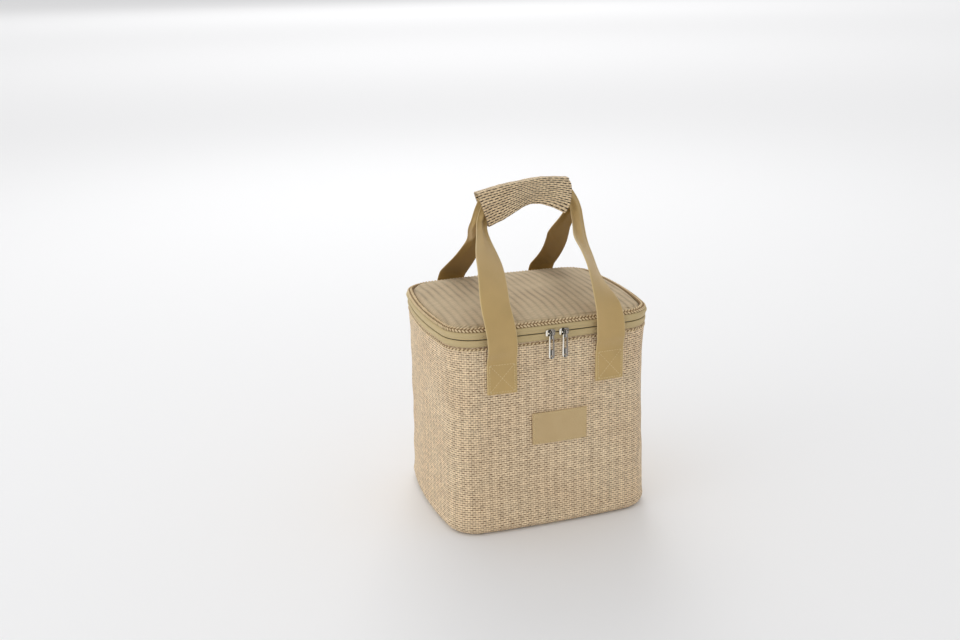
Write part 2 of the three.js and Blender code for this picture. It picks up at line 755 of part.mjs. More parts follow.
// Shield outline, full height at the nose that parts the coils and lower at the tail
function shield(margin) {
  const nose = SLIDER_LENGTH / 2 - margin;
  const high = SLIDER_HEIGHT / 2 - margin;
  const low = SLIDER_TAIL / 2 - margin;
  const shape = new THREE.Shape();
  shape.moveTo(-nose, -low + TAIL_ROUND);
  shape.quadraticCurveTo(-nose, -low, -nose + TAIL_ROUND, -low);
  shape.lineTo(SHOULDER_X, -high);
  shape.quadraticCurveTo(nose, -high, nose, -high + NOSE_ROUND);
  shape.lineTo(nose, high - NOSE_ROUND);
  shape.quadraticCurveTo(nose, high, SHOULDER_X, high);
  shape.lineTo(-nose + TAIL_ROUND, low);
  shape.quadraticCurveTo(-nose, low, -nose, low - TAIL_ROUND);
  shape.closePath();
  return shape;
}

// The crown is an arch along the slider that the pull hangs from
function crownArch() {
  const shape = new THREE.Shape();
  const reach = CROWN_LENGTH / 2;
  const rise = CROWN_ROOM + CROWN_BAR;
  shape.moveTo(-reach, -WELD);
  shape.lineTo(-reach, rise - CROWN_ROUND);
  shape.quadraticCurveTo(-reach, rise, -reach + CROWN_ROUND, rise);
  shape.lineTo(reach - CROWN_ROUND, rise);
  shape.quadraticCurveTo(reach, rise, reach, rise - CROWN_ROUND);
  shape.lineTo(reach, -WELD);
  shape.lineTo(reach - CROWN_BAR, -WELD);
  shape.lineTo(reach - CROWN_BAR, CROWN_ROOM);
  shape.lineTo(-reach + CROWN_BAR, CROWN_ROOM);
  shape.lineTo(-reach + CROWN_BAR, -WELD);
  shape.closePath();
  const options = { depth: CROWN_BAR, bevelEnabled: false, curveSegments: 3 };
  const geometry = new THREE.ExtrudeGeometry(shape, options);
  geometry.rotateX(Math.PI);
  geometry.translate(0, -(plateBack + PLATE), pivotZ - ZIP_Z + CROWN_BAR / 2);
  return geometry;
}

// Built with the nose towards +X and the outline's front at Y = 0, then set on the bow
function sliderBody(mirror) {
  const outer = plateXZ(shield(0), -(plateBack + PLATE), PLATE);
  const inner = plateXZ(shield(CLEAR), coilBack, PLATE);
  const postHeight = ZIP_GROOVE - 2 * CLEAR;
  const postEnd = SLIDER_LENGTH / 2 - POST_INSET;
  const postFront = -(plateBack + WELD);
  const postBack = coilBack + WELD;
  const post = boxAt(postEnd - POST_LENGTH, postEnd, postFront, postBack, -postHeight / 2, postHeight / 2);
  const solid = toSolid(outer).add(toSolid(inner)).add(toSolid(post)).add(toSolid(crownArch()));
  const geometry = fromSolid(solid);
  if (mirror > 0) {
    geometry.scale(-1, 1, 1);
    geometry.setIndex([...geometry.index.array].reverse());
  }
  return geometry;
}

// Pull: a ring round the crown bar, a neck and a slotted, tapered tab with a small end hole
function pullShape() {
  const wide = PULL_WIDTH / 2;
  const neck = PULL_NECK / 2;
  const top = -PULL_RING - RING_WALL + WELD;
  const slotTop = top - SLOT_DROP;
  const slotLow = slotTop - SLOT_LENGTH;
  const tip = -PULL_LENGTH + wide;
  const shape = new THREE.Shape();
  shape.moveTo(-neck, top);
  shape.lineTo(-wide + PULL_TAPER, top - PULL_SHOULDER);
  shape.lineTo(-wide, tip);
  shape.absarc(0, tip, wide, Math.PI, 2 * Math.PI, false);
  shape.lineTo(wide - PULL_TAPER, top - PULL_SHOULDER);
  shape.lineTo(neck, top);
  shape.closePath();
  const slot = new THREE.Path();
  slot.moveTo(-SLOT_WIDTH / 2, slotTop);
  slot.lineTo(SLOT_WIDTH / 2, slotTop);
  slot.lineTo(SLOT_WIDTH / 2, slotLow);
  slot.lineTo(-SLOT_WIDTH / 2, slotLow);
  slot.closePath();
  const eye = new THREE.Path();
  eye.absarc(0, tip, PULL_EYE, 0, 2 * Math.PI, true);
  shape.holes.push(slot, eye);
  return shape;
}

function pullBody() {
  const outerRadius = PULL_RING + RING_WALL;
  const outer = new THREE.CylinderGeometry(outerRadius, outerRadius, PULL_NECK, RING_SIDES);
  const bore = new THREE.CylinderGeometry(PULL_RING, PULL_RING, PULL_NECK + 2 * RING_WALL, RING_SIDES);
  outer.rotateZ(Math.PI / 2);
  bore.rotateZ(Math.PI / 2);
  const ringSolid = toSolid(outer).subtract(toSolid(bore));
  const tab = toSolid(plateXZ(pullShape(), -PULL_THICK / 2, PULL_THICK));
  return fromSolid(ringSolid.add(tab));
}

// The two sliders meet nose to nose at the middle of the front
function zipPulls() {
  [['left', -1], ['right', 1]].forEach(([name, sign]) => {
    const station = frontStation(sign * SLIDER_X);
    const yaw = Math.atan2(station.nx, -station.ny);
    const slider = sliderBody(sign);
    slider.rotateZ(yaw);
    slider.translate(station.x, station.y, ZIP_Z);
    addPiece(`slider_${name}`, slider, NICKEL);
    const pull = pullBody();
    pull.rotateZ(yaw);
    pull.translate(station.x + station.nx * pivotDepth, station.y + station.ny * pivotDepth, pivotZ);
    addPiece(`pull_${name}`, pull, NICKEL);
  });
}

sideFabric();
base();
wallFoam();
liner();
rimBinding();
zipTapes();
zipCoils();
hingeStrips();
lid();
strapEnd('front_left_strap_end', -HANDLE_X, true);
strapEnd('front_right_strap_end', HANDLE_X, true);
strapEnd('back_left_strap_end', -HANDLE_X, false);
strapEnd('back_right_strap_end', HANDLE_X, false);
label();
handles();
gripWrap();
zipPulls();

export default bag;
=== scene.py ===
"""Dresses the cooler bag: woven paper-straw shell, webbing handles, zip and lined inside.

Sizes are in millimetres unless a name says otherwise. The front panel faces -Y and +Z is up.
"""

import logging
import math
from dataclasses import dataclass, field
from enum import Enum
from functools import cache
from typing import Callable, Sequence

import bmesh
import bpy
import numpy as np
from mathutils import Matrix, Vector

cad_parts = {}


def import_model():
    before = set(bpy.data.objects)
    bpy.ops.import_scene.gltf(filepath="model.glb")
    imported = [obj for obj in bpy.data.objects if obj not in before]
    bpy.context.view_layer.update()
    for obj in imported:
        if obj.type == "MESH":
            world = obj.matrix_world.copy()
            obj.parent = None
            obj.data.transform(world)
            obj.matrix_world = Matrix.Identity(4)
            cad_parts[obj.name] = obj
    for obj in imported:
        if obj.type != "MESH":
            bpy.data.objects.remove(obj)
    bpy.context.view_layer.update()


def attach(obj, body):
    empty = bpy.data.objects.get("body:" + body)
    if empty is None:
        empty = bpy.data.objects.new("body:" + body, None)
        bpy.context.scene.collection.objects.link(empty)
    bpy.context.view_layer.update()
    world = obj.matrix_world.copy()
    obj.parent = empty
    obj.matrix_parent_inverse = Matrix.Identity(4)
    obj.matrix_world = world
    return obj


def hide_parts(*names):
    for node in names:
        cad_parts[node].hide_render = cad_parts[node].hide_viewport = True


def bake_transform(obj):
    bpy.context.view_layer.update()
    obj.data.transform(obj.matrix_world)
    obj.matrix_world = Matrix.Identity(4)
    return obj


LOG = logging.getLogger("cooler_bag")
MM = 0.001
CLEAR = 0.3
TURN = 2 * math.pi
# Rows round the outline of a wide sheet, and of a line that carries straw grains
SHEET_ROWS = 200
LINE_ROWS = 500
Array = np.ndarray
Material = bpy.types.Material
Mesh = bpy.types.Mesh
Piece = bpy.types.Object
Socket = bpy.types.NodeSocket
Tree = bpy.types.NodeTree
Section = list[tuple[float, float]]
Spot = tuple[float, float, float]


class Ends(Enum):
    """How the open ends of a swept grid are closed."""

    OPEN = "open"
    FLAT = "flat"
    POLES = "poles"


class Slot(Enum):
    """Material slots of the record."""

    WOVEN = "woven_straw"
    WEBBING = "webbing"
    TAPE = "zip_tape"
    COIL = "zip_coil"
    LABEL = "label_cloth"
    BINDING = "binding"
    FOIL = "foil_liner"
    FOAM = "foam"
    BOARD = "board"
    HOOK_LOOP = "hook_and_loop"
    NICKEL = "nickel"


# Nodes and colours


def linear(code: str) -> tuple[float, float, float, float]:
    """Turns an sRGB hex colour to linear.

    Args:
        code: Six hex digits.

    Returns:
        Linear red, green, blue and an alpha of 1.
    """
    parts = [int(code[i : i + 2], 16) / 255 for i in (0, 2, 4)]
    values = [c / 12.92 if c <= 0.04045 else ((c + 0.055) / 1.055) ** 2.4 for c in parts]
    return (values[0], values[1], values[2], 1.0)


def add_node(tree: Tree, kind: str, inputs: dict | None = None, **settings: object) -> bpy.types.Node:
    """Adds a node with its settings, values and links.

    Args:
        tree: The node tree.
        kind: The node's type name.
        inputs: Input name or number to a number, or to the socket or value that feeds it.
        settings: Properties of the node.

    Returns:
        The new node.
    """
    node = tree.nodes.new(kind)
    for name, setting in settings.items():
        setattr(node, name, setting)
    for key, given in (inputs or {}).items():
        source = given.socket if isinstance(given, Value) else given
        if isinstance(source, Socket):
            tree.links.new(source, node.inputs[key])
        else:
            node.inputs[key].default_value = source
    return node


@dataclass(frozen=True)
class Value:
    """A number that nodes work out; a sum with it adds Math nodes to its tree."""

    tree: Tree
    socket: Socket

    def math(self, operation: str, *others: "Value | float") -> "Value":
        """One Math node on this value and what else its operation takes."""
        inputs = dict(enumerate((self, *others)))
        return Value(self.tree, add_node(self.tree, "ShaderNodeMath", inputs, operation=operation).outputs[0])

    def __add__(self, other: "Value | float") -> "Value":
        """Sum."""
        return self.math("ADD", other)

    def __sub__(self, other: "Value | float") -> "Value":
        """Difference."""
        return self.math("SUBTRACT", other)

    def __mul__(self, other: "Value | float") -> "Value":
        """Product."""
        return self.math("MULTIPLY", other)

    def wave(self, pitch: float, kind: str = "COSINE") -> "Value":
        """A wave from -1 to 1 that comes back at a pitch."""
        return (self * (TURN / pitch)).math(kind)

    def ease(self, low: float, high: float) -> "Value":
        """Smooth step from 0 at low to 1 at high."""
        inputs = {0: self, 1: low, 2: high}
        step = add_node(self.tree, "ShaderNodeMapRange", inputs, interpolation_type="SMOOTHSTEP")
        return Value(self.tree, step.outputs[0])


# Finishes


@dataclass(frozen=True)
class Finish:
    """A surface as its maker would name it."""

    name: str
    slot: Slot
    roughness: float = 0.8
    metallic: float = 0.0
    sheen: float = 0.0

    def build(self) -> Material:
        """The material in its even values, which each kind of finish adds to."""
        return Brush(self).material


class Brush:
    """Builds one material: its tree, its shader and the place that its patterns read."""

    def __init__(self, finish: Finish) -> None:
        """Starts the material with its even values."""
        self.material = bpy.data.materials.new(finish.name)
        self.material.use_nodes = True
        self.tree = self.material.node_tree
        self.shader = self.tree.nodes["Principled BSDF"]
        self.shader.inputs["Roughness"].default_value = finish.roughness
        self.shader.inputs["Metallic"].default_value = finish.metallic
        self.shader.inputs["Sheen Weight"].default_value = finish.sheen

    def in_solid(self) -> None:
        """Lays the patterns in the object's own space, in metres."""
        self.where = add_node(self.tree, "ShaderNodeTexCoord").outputs["Object"]

    def on_cloth(self) -> tuple[Value, Value]:
        """Lays the patterns on the piece's own map: u along and v across, in millimetres."""
        self.where = add_node(self.tree, "ShaderNodeUVMap", uv_map="cloth").outputs["UV"]
        parts = add_node(self.tree, "ShaderNodeSeparateXYZ", {0: self.where}).outputs
        return Value(self.tree, parts[0]), Value(self.tree, parts[1])

    def texture(self, kind: str, inputs: dict, output: int = 0, **settings: object) -> Value:
        """A pattern in the brush's place."""
        inputs = {"Vector": self.where, **inputs}
        return Value(self.tree, add_node(self.tree, kind, inputs, **settings).outputs[output])

    def mottle(self, size: float, detail: float = 2.0) -> Value:
        """Noise from 0 to 1 with patches of a size in the units of the place."""
        return self.texture("ShaderNodeTexNoise", {"Scale": 1 / size, "Detail": detail})

    def chance(self, *spot: Value | float) -> Value:
        """A random number from 0 to 1 for each whole spot."""
        cell = add_node(self.tree, "ShaderNodeCombineXYZ", dict(enumerate(spot))).outputs[0]
        return self.texture("ShaderNodeTexWhiteNoise", {"Vector": cell})

    def read(self, name: str) -> Value:
        """A number that is stored on the piece's points."""
        stored = add_node(self.tree, "ShaderNodeAttribute", attribute_name=name)
        return Value(self.tree, stored.outputs["Fac"])

    def tint(self, share: Value, low: object, high: object) -> Socket:
        """Mixes two colours, each a socket or a hex code, by a share."""
        low, high = (linear(c) if isinstance(c, str) else c for c in (low, high))
        return add_node(self.tree, "ShaderNodeMix", {0: share, 6: low, 7: high}, data_type="RGBA").outputs[2]

    def shaded(self, colour: Socket, shade: Value) -> Socket:
        """A colour made lighter or darker."""
        inputs = {0: colour, "Scale": shade}
        return add_node(self.tree, "ShaderNodeVectorMath", inputs, operation="SCALE").outputs[0]

    def feed(self, name: str, source: Socket) -> None:
        """Links a socket to one of the shader's inputs."""
        self.tree.links.new(source, self.shader.inputs[name])

    def done(self, colour: Socket, height: Value, depth: float) -> Material:
        """Gives the material its colour, and its relief from a height with its depth in millimetres."""
        inputs = {"Height": height, "Distance": depth * MM, "Strength": 1.0}
        self.feed("Base Color", colour)
        self.feed("Normal", add_node(self.tree, "ShaderNodeBump", inputs).outputs[0])
        return self.material


@dataclass(frozen=True)
class PaperStraw(Finish):
    """Woven paper straw: rows of cream strands with short dark gaps, staggered from row to row."""

    light: str = "f3dfbc"
    warm: str = "e4c7a1"
    dark: str = "7f512b"
    row: float = 2.5
    stitch: float = 5.6
    gap: float = 1.0
    crease_shade: float = 0.16
    ribs: float = 0.0
    cord: float = 10.4
    cording: float = 0.0
    variety: float = 0.28
    ridges: float = 0.11
    depth: float = 0.9
    shade: float = 1.0

    def build(self) -> Material:
        """Rows that wander a little, each strand with its own tone and twist lines."""
        brush = Brush(self)
        u, v = brush.on_cloth()
        drift, wander, patch = brush.mottle(40.0, 1.0), brush.mottle(9.0, 1.0), brush.mottle(60.0)
        twist = brush.texture(
            "ShaderNodeTexWave", {"Scale": 0.5, "Distortion": 1.0}, 1, bands_direction="DIAGONAL"
        )
        u, v = u + drift * 2.4, v + drift * 2.0 + wander * 0.7
        rows, turns = v * (1 / self.row), u * (1 / self.stitch)
        row, seam = rows.math("FLOOR"), rows.math("ROUND")
        seam_turns = turns + seam * 0.5
        off = (rows.math("FRACT") - 0.5).math("ABSOLUTE")
        # Gaps lie between rows, opened by chance and where the cords part
        near = off.ease(0.22, 0.45)
        opened = seam_turns.wave(1.0).ease(-0.45, 0.6)
        chance = brush.chance(seam_turns.math("ROUND"), seam, 3.7)
        cord = u.wave(self.cord)
        gap = near * opened * ((chance * 0.75 + 0.45) * (cord * (-4 * self.cording) + 1.0))
        # Row edges are darkened also where no gap opens: painted shade in the crease between rows
        hole = gap * (0.75 * self.gap) + near * (self.crease_shade * self.gap)
        # Each strand has its own tone and is lighter along each cord; painted highlight lifts its crown and
        # each column's ridge, painted shade darkens the lines between ribs
        tone = brush.chance((turns + row * 0.5).math("FLOOR"), row)
        pale = tone * (self.variety * self.shade) + (1 - self.variety / 2) * self.shade
        column = turns.wave(0.5)
        rib = (turns.wave(1.0) * 0.5 + 0.5).math("POWER", 0.35)
        rib_shade = (rib * -1.0 + 1.0) * (patch * 3.4 - 0.7)
        shade = pale * (twist * 0.1 + 0.94) * (cord * self.cording + 1.0) * (column * self.ridges + 1.0)
        # Painted highlight at each row's crown, painted shade between ribs
        fall = off * off
        shade = shade * (fall * -0.6 + 1.06) * (rib_shade * (-2 * self.ribs) + 1.0)
        height = fall * -2.0 + 0.6 + gap * -0.45 + column * (2.7 * self.ridges) + twist * 0.12
        straw = brush.shaded(brush.tint(patch, self.light, self.warm), shade)
        return brush.done(brush.tint(hole, straw, self.dark), height, self.depth)


@dataclass(frozen=True)
class Webbing(Finish):
    """Close polyester webbing: fine ribs across its width and paler selvedges."""

    body: str = "c6a66a"
    edge: str = "dcc38c"
    # Painted shade: a darker, deeper brown laid on the inner face, where it faces down and inwards
    inner: str = "775619"
    painted_shade_share: float = 0.72
    half_width: float = 16.0
    selvedge: float = 0.9
    rib: float = 1.1
    depth: float = 0.12

    def build(self) -> Material:
        """Ribs, thread grain, slow shifts of tone, a selvedge line, and painted shade on the inner side that
        also dulls its sheen and gloss.
        """
        brush = Brush(self)
        u, v = brush.on_cloth()
        slow, thread, painted_shade = brush.mottle(26.0), brush.mottle(0.7), brush.read("painted_shade")
        rim = v.math("ABSOLUTE").math("GREATER_THAN", self.half_width - self.selvedge)
        # Painted shade also turns the gloss and sheen down where it darkens
        lit_share = painted_shade * -0.85 + 1.0
        brush.feed("Specular IOR Level", (lit_share * 0.5).socket)
        brush.feed("Sheen Weight", (lit_share * self.sheen).socket)
        outer = brush.tint(rim * 0.7, self.body, self.edge)
        colour = brush.tint(painted_shade * self.painted_shade_share, outer, self.inner)
        shade = (thread * 0.14 + 0.92) * (slow * 0.22 + 0.89)
        height = thread * 0.8 + u.wave(self.rib, "SINE") * v.wave(self.rib * 1.3, "SINE")
        return brush.done(brush.shaded(colour, shade), height, self.depth)


@dataclass(frozen=True)
class FineCloth(Finish):
    """Close twill, as in zip tape, bias tape and the label's ground."""

    body: str = "b39a64"
    worn: str = "c4ad78"
    twill: float = 1.0
    depth: float = 0.1

    def build(self) -> Material:
        """Twill lines at 45 degrees over a soft change of tone."""
        brush = Brush(self)
        u, v = brush.on_cloth()
        slow, thread = brush.mottle(18.0, 3.0), brush.mottle(0.6, 1.0)
        lines = (u + v).wave(self.twill, "SINE")
        colour = brush.shaded(brush.tint(slow, self.body, self.worn), lines * 0.04 + 0.97)
        return brush.done(colour, thread * 0.7 + lines, self.depth)


@dataclass(frozen=True)
class Plate(Finish):
    """Polished plate, whose flat faces carry painted reflections of the room: light and dark bands along the
    part.
    """

    painted_reflections: tuple[tuple[float, str], ...] = ()

    def build(self) -> Material:
        """Painted reflections laid across the part by its own share of width, over a faint wear."""
        brush = Brush(self)
        brush.in_solid()
        ramp = add_node(brush.tree, "ShaderNodeValToRGB", {0: brush.read("across")})
        stops = ramp.color_ramp.elements
        for _ in self.painted_reflections[2:]:
            stops.new(0.5)
        for stop, (place, code) in zip(stops, self.painted_reflections):
            stop.position = place
            stop.color = linear(code)
        return brush.done(ramp.outputs[0], brush.mottle(0.9 * MM, 3.0), 0.012)


@dataclass(frozen=True)
class Grained(Finish):
    """A surface whose grain is the same in every direction: foam, film, board, thread, plate."""

    body: str = "e6e3da"
    second: str = "d2cfc6"
    grain: float = 1.5
    patch: float = 20.0
    depth: float = 0.2
    crumple: float = 0.0

    def build(self) -> Material:
        """Cells or fibres from noise in the object's own millimetres, with slow shifts of tone."""
        brush = Brush(self)
        brush.in_solid()
        height = brush.mottle(self.grain * MM, 3.0)
        if self.crumple:
            scale = {"Scale": 1 / (self.crumple * MM)}
            height = brush.texture("ShaderNodeTexVoronoi", scale, feature="SMOOTH_F1") * 6.0 + height
        colour = brush.tint(brush.mottle(self.patch * MM), self.body, self.second)
        return brush.done(colour, height, self.depth)


# Paper straw: twisted kraft paper, matt, cream with brown gaps; the lid's cloth lies at a glancing angle,
# so its columns are drawn coarser than on the sides and show as ribs
SIDE_CLOTH = PaperStraw(
    "Paper straw basket weave", Slot.WOVEN, 0.85, sheen=0.1, gap=0.92, crease_shade=0.36, cording=0.055, shade=1.04
)
# The lid's straw is a darker copy of the side's, painted shade over the whole top, with painted shade drawn
# between its ribs
LID_CLOTH = PaperStraw(
    "Paper straw lid weave", Slot.WOVEN, 0.85, sheen=0.1, light="f2dcb4", warm="e3c69c",
    stitch=8.4, gap=0.3, ribs=0.17, variety=0.08, ridges=0.0, shade=0.725,
)
WRAP_CLOTH = PaperStraw(
    "Paper straw grip weave", Slot.WOVEN, 0.85, sheen=0.1, light="fbe6c0", warm="f0d0a4", dark="49331c",
    stitch=6.4, row=3.0, gap=1.9, crease_shade=0.24, depth=1.8, shade=1.05,
)
# Raised straw grains of a braid, and the same straw in shadow between them
GRAIN_STRAW = Grained(
    "Twisted paper straw", Slot.WOVEN, 0.8, body="ead7b2", second="d3b88c", grain=0.8, patch=9.0, depth=0.25
)
BRAID_SHADE = Grained(
    "Shaded straw ground", Slot.WOVEN, 0.9, body="7c6242", second="977b55", grain=1.2, patch=6.0, depth=0.3
)
# Polyester webbing: smooth close weave with a low sheen
STRAP = Webbing("Khaki polyester webbing", Slot.WEBBING, 0.62, sheen=0.25)
# Woven zip tape and bias tape: fine twill, matt
TAPE = FineCloth("Khaki zip tape", Slot.TAPE, 0.75, sheen=0.1, body="cdb683", worn="d9c393")
BIAS = FineCloth("Khaki bias tape", Slot.BINDING, 0.8, body="a98f5c", worn="b9a06c")
# Label twill: coarser and paler than the tapes
PATCH = FineCloth("Khaki label twill", Slot.LABEL, 0.8, body="d5b786", worn="dec392", twill=1.4, depth=0.16)
# Polyester sewing thread: a little paler than the webbing
THREAD = Grained(
    "Khaki sewing thread", Slot.WEBBING, 0.6, body="e6d1a0", second="d3bd8a", grain=0.5, depth=0.05
)
# Nylon zip coil: smooth and a little glossy
NYLON = Grained("Khaki nylon coil", Slot.COIL, 0.4, body="8d7747", second="9b8450", grain=0.6, depth=0.03)
# Nickel plate: polished, with painted reflections in light and dark bands across it, and faint wear that
# widens its highlights
NICKEL = Plate("Polished nickel plate", Slot.NICKEL, 0.16, metallic=1.0, painted_reflections=(
    (0.0, "fffdf4"), (0.2, "fdf8ec"), (0.27, "5d5a55"), (0.5, "4c4843"),
    (0.58, "cfcac2"), (0.68, "9c968f"), (1.0, "857e76"),
))
# The same plate drawn near white where its edges are rounded: painted highlight along them
NICKEL_HIGHLIGHT = Grained(
    "Nickel plate at its edges", Slot.NICKEL, 0.12, metallic=1.0, body="fffdf6", second="f2f0e8", grain=0.9
)
# Metallised liner film: silver, soft sheen, creased where it was folded
FILM = Grained(
    "Metallised liner film", Slot.FOIL, 0.34, metallic=0.4,
    body="dfe1e3", second="cfd3d6", grain=2.0, depth=0.12, crumple=26.0,
)
# Closed-cell foam: pale and matt with fine cells
FOAM = Grained("Closed-cell foam", Slot.FOAM, 0.9, body="e8e6df", second="dcd9d0", grain=0.9, depth=0.15)
# Stiffener board: grey fibre board
BOARD = Grained(
    "Fibre stiffener board", Slot.BOARD, 0.85, body="3b3935", second="2f2d2a", grain=0.7, depth=0.08
)
# Hook and loop tape: black nylon pile
PILE = Grained(
    "Hook and loop tape", Slot.HOOK_LOOP, 0.95, sheen=0.3,
    body="35332f", second="24221f", grain=0.5, depth=0.4,
)


@cache
def material(finish: Finish) -> Material:
    """The finish's material, made the first time it is asked for."""
    return finish.build()


def cover(node: str, finish: Finish) -> None:
    """Gives a solid that stays as it is a finish in each of its slots."""
    for slot in bpy.data.objects[node].material_slots:
        slot.material = material(finish)


# Meshes


def arc(u: float, v: float, radius: float, start: float, end: float, steps: int) -> Section:
    """Points on a round corner of a section.

    Args:
        u: The centre's offset.
        v: The centre's height.
        radius: The corner's radius.
        start: First direction, in quarter turns.
        end: Last direction, in quarter turns.
        steps: Number of straight steps.

    Returns:
        The points, ends included.
    """
    turns = np.linspace(start, end, steps + 1) * math.pi / 2
    return [(u + radius * math.cos(t), v + radius * math.sin(t)) for t in turns]


def soften(points: Sequence[tuple[float, float]], radius: float, steps: int = 3) -> Section:
    """Rounds every corner of a closed section by a short curve.

    Args:
        points: The corners in order.
        radius: How far along each side a curve starts.
        steps: Number of straight steps on each curve.

    Returns:
        The rounded section.
    """
    corners = [np.array(p, float) for p in points]
    result: Section = []
    for i, corner in enumerate(corners):
        before = corners[i - 1] - corner
        after = corners[(i + 1) % len(corners)] - corner
        start = corner + before * min(radius / np.linalg.norm(before), 0.5)
        end = corner + after * min(radius / np.linalg.norm(after), 0.5)
        for t in np.linspace(0, 1, steps + 1):
            point = start * (1 - t) ** 2 + corner * 2 * t * (1 - t) + end * t * t
            result.append((float(point[0]), float(point[1])))
    return result


def refine(points: Sequence[tuple[float, float]], spacing: float, closed: bool = True) -> Section:
    """Adds points on the long sides of a section.

    Args:
        points: The section's points.
        spacing: Longest side allowed.
        closed: Whether the last point joins the first.

    Returns:
        The section with no side longer than the spacing.
    """
    result: Section = []
    pairs = list(zip(points, [*points[1:], points[0]]))
    for (u0, v0), (u1, v1) in pairs if closed else pairs[:-1]:
        steps = max(1, math.ceil(math.hypot(u1 - u0, v1 - v0) / spacing))
        result += [(u0 + (u1 - u0) * k / steps, v0 + (v1 - v0) * k / steps) for k in range(steps)]
    return result if closed else [*result, points[-1]]


def lengths(points: Array) -> Array:
    """Distance along a line of points, from 0."""
    steps = np.linalg.norm(np.diff(points, axis=0), axis=1)
    return np.concatenate([[0.0], np.cumsum(steps)])


def smooth(share: Array | float) -> Array | float:
    """Smooth step from 0 to 1."""
    t = np.clip(share, 0, 1)
    return t * t * (3 - 2 * t)


def unit(rows: Array) -> Array:
    """Vectors brought to length 1."""
    return rows / np.linalg.norm(rows, axis=-1, keepdims=True)


def ripple(points: Array, size: float, seed: int, count: int = 6) -> Array:
    """Soft unevenness over points in space, alike on every run.

    Args:
        points: Places in millimetres, in an array that ends in three.
        size: Rough distance between two swells.
        seed: Fixed seed of the waves.
        count: Number of waves added up.

    Returns:
        Heights of about -1 to 1.
    """
    rng = np.random.default_rng(seed)
    total = np.zeros(points.shape[:-1])
    for _ in range(count):
        direction = unit(rng.normal(size=3))
        wave = 2 * math.pi / (size * rng.uniform(0.7, 1.5))
        total += np.sin(points @ direction * wave + rng.uniform(0, 2 * math.pi))
    return total / math.sqrt(count)


def link(name: str, data: bpy.types.ID) -> Piece:
    """A new object in the scene."""
    made = bpy.data.objects.new(name, data)
    bpy.context.scene.collection.objects.link(made)
    return made


def grid_mesh(
    name: str, grid: Array, uv: Array, round_u: bool, round_v: bool, ends: Ends = Ends.OPEN
) -> Piece:
    """Makes an object from a grid of points, with its faces pointing outwards.

    Args:
        name: The piece's name.
        grid: Points in millimetres, rows along the path and columns along the section.
        uv: Map in millimetres, with one more row or column where the grid closes on itself.
        round_u: Whether the last row joins the first.
        round_v: Whether the last column joins the first.
        ends: Flat closes the first and last rows; poles closes the first and last columns.

    Returns:
        The object, linked to the scene.
    """
    rows, columns = grid.shape[:2]
    i, j = np.meshgrid(np.arange(rows - (not round_u)), np.arange(columns - (not round_v)), indexing="ij")
    i, j = i.ravel(), j.ravel()
    corners = [(i, j), (i + 1, j), (i + 1, j + 1), (i, j + 1)]
    quads = np.stack([(a % rows) * columns + b % columns for a, b in corners], 1)
    maps = np.stack([uv[a, b] for a, b in corners], 1)
    points = grid.reshape(-1, 3)
    faces = quads.tolist()
    uvs = maps.reshape(-1, 2).tolist()
    if ends is Ends.FLAT:
        faces += [list(range(columns))[::-1], [(rows - 1) * columns + k for k in range(columns)]]
        uvs += [*uv[0, :columns][::-1].tolist(), *uv[rows - 1, :columns].tolist()]
    if ends is Ends.POLES:
        for column, turned in ((0, False), (columns - 1, True)):
            hub = len(points)
            points = np.vstack([points, grid[:, column].mean(0)])
            middle = uv[:-1, column].mean(0).tolist()
            for k in range(rows):
                a, b = k * columns + column, (k + 1) % rows * columns + column
                ua, ub = uv[k, column].tolist(), uv[k + 1, column].tolist()
                faces.append([hub, a, b] if turned else [hub, b, a])
                uvs += [middle, ua, ub] if turned else [middle, ub, ua]
    mesh = bpy.data.meshes.new(name)
    mesh.from_pydata((points * MM).tolist(), [], faces)
    layer = mesh.uv_layers.new(name="cloth")
    layer.data.foreach_set("uv", np.array(uvs, np.float32).ravel())
    mesh.update()
    mesh.validate()
    if signed_volume(mesh) < 0:
        mesh.flip_normals()
    mesh.shade_smooth()
    mesh.set_sharp_from_angle(angle=math.radians(50))
    return link(name, mesh)


def vertices(mesh: Mesh, field: str = "co") -> Array:
    """A mesh's points in metres, or its normals."""
    flat = np.empty(len(mesh.vertices) * 3, np.float32)
    source = mesh.vertices if field == "co" else mesh.vertex_normals
    source.foreach_get("co" if field == "co" else "vector", flat)
    return flat.reshape(-1, 3)


def mark(mesh: Mesh, name: str, values: Array) -> None:
    """Stores a number for each point, for a finish to read."""
    layer = mesh.attributes.new(name, "FLOAT", "POINT")
    layer.data.foreach_set("value", np.asarray(values, np.float32))


def signed_volume(mesh: Mesh) -> float:
    """Volume inside a mesh, negative where its faces point inwards."""
    mesh.calc_loop_triangles()
    points = vertices(mesh).astype(float)
    corners = np.empty(len(mesh.loop_triangles) * 3, np.int32)
    mesh.loop_triangles.foreach_get("vertices", corners)
    a, b, c = (points[corners.reshape(-1, 3)[:, k]] for k in range(3))
    return float(np.einsum("ij,ij->i", a, np.cross(b, c)).sum())


def dress(piece: Piece, finish: Finish, body: str, *nodes: str) -> None:
    """Gives a piece its finish, sets it on its body and hides the solids that it stands for."""
    if not piece.data.materials:
        piece.data.materials.append(material(finish))
    if nodes:
        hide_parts(*nodes)
    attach(piece, body)
    LOG.info("%s: %d faces on %s", piece.name, len(piece.data.polygons), body)


def bend(
    piece: Piece, finish: Finish, bodies: tuple[str, str], nodes: Sequence[str], start: Spot, end: Spot
) -> None:
    """Gives a piece its finish, hides the solids that it stands for and bakes its placement into its mesh.

    Args:
        piece: The piece.
        finish: What it is made of.
        bodies: The body it starts on and the one it ends on.
        nodes: The solids that it stands for.
        start: Place in millimetres where the bend starts; not used.
        end: Place where the bend ends; not used.
    """
    piece.data.materials.append(material(finish))
    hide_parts(*nodes)
    tuple(c * MM for c in start)
    tuple(c * MM for c in end)
    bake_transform(piece)
    LOG.info("%s: %d faces from %s to %s", piece.name, len(piece.data.polygons), *bodies)


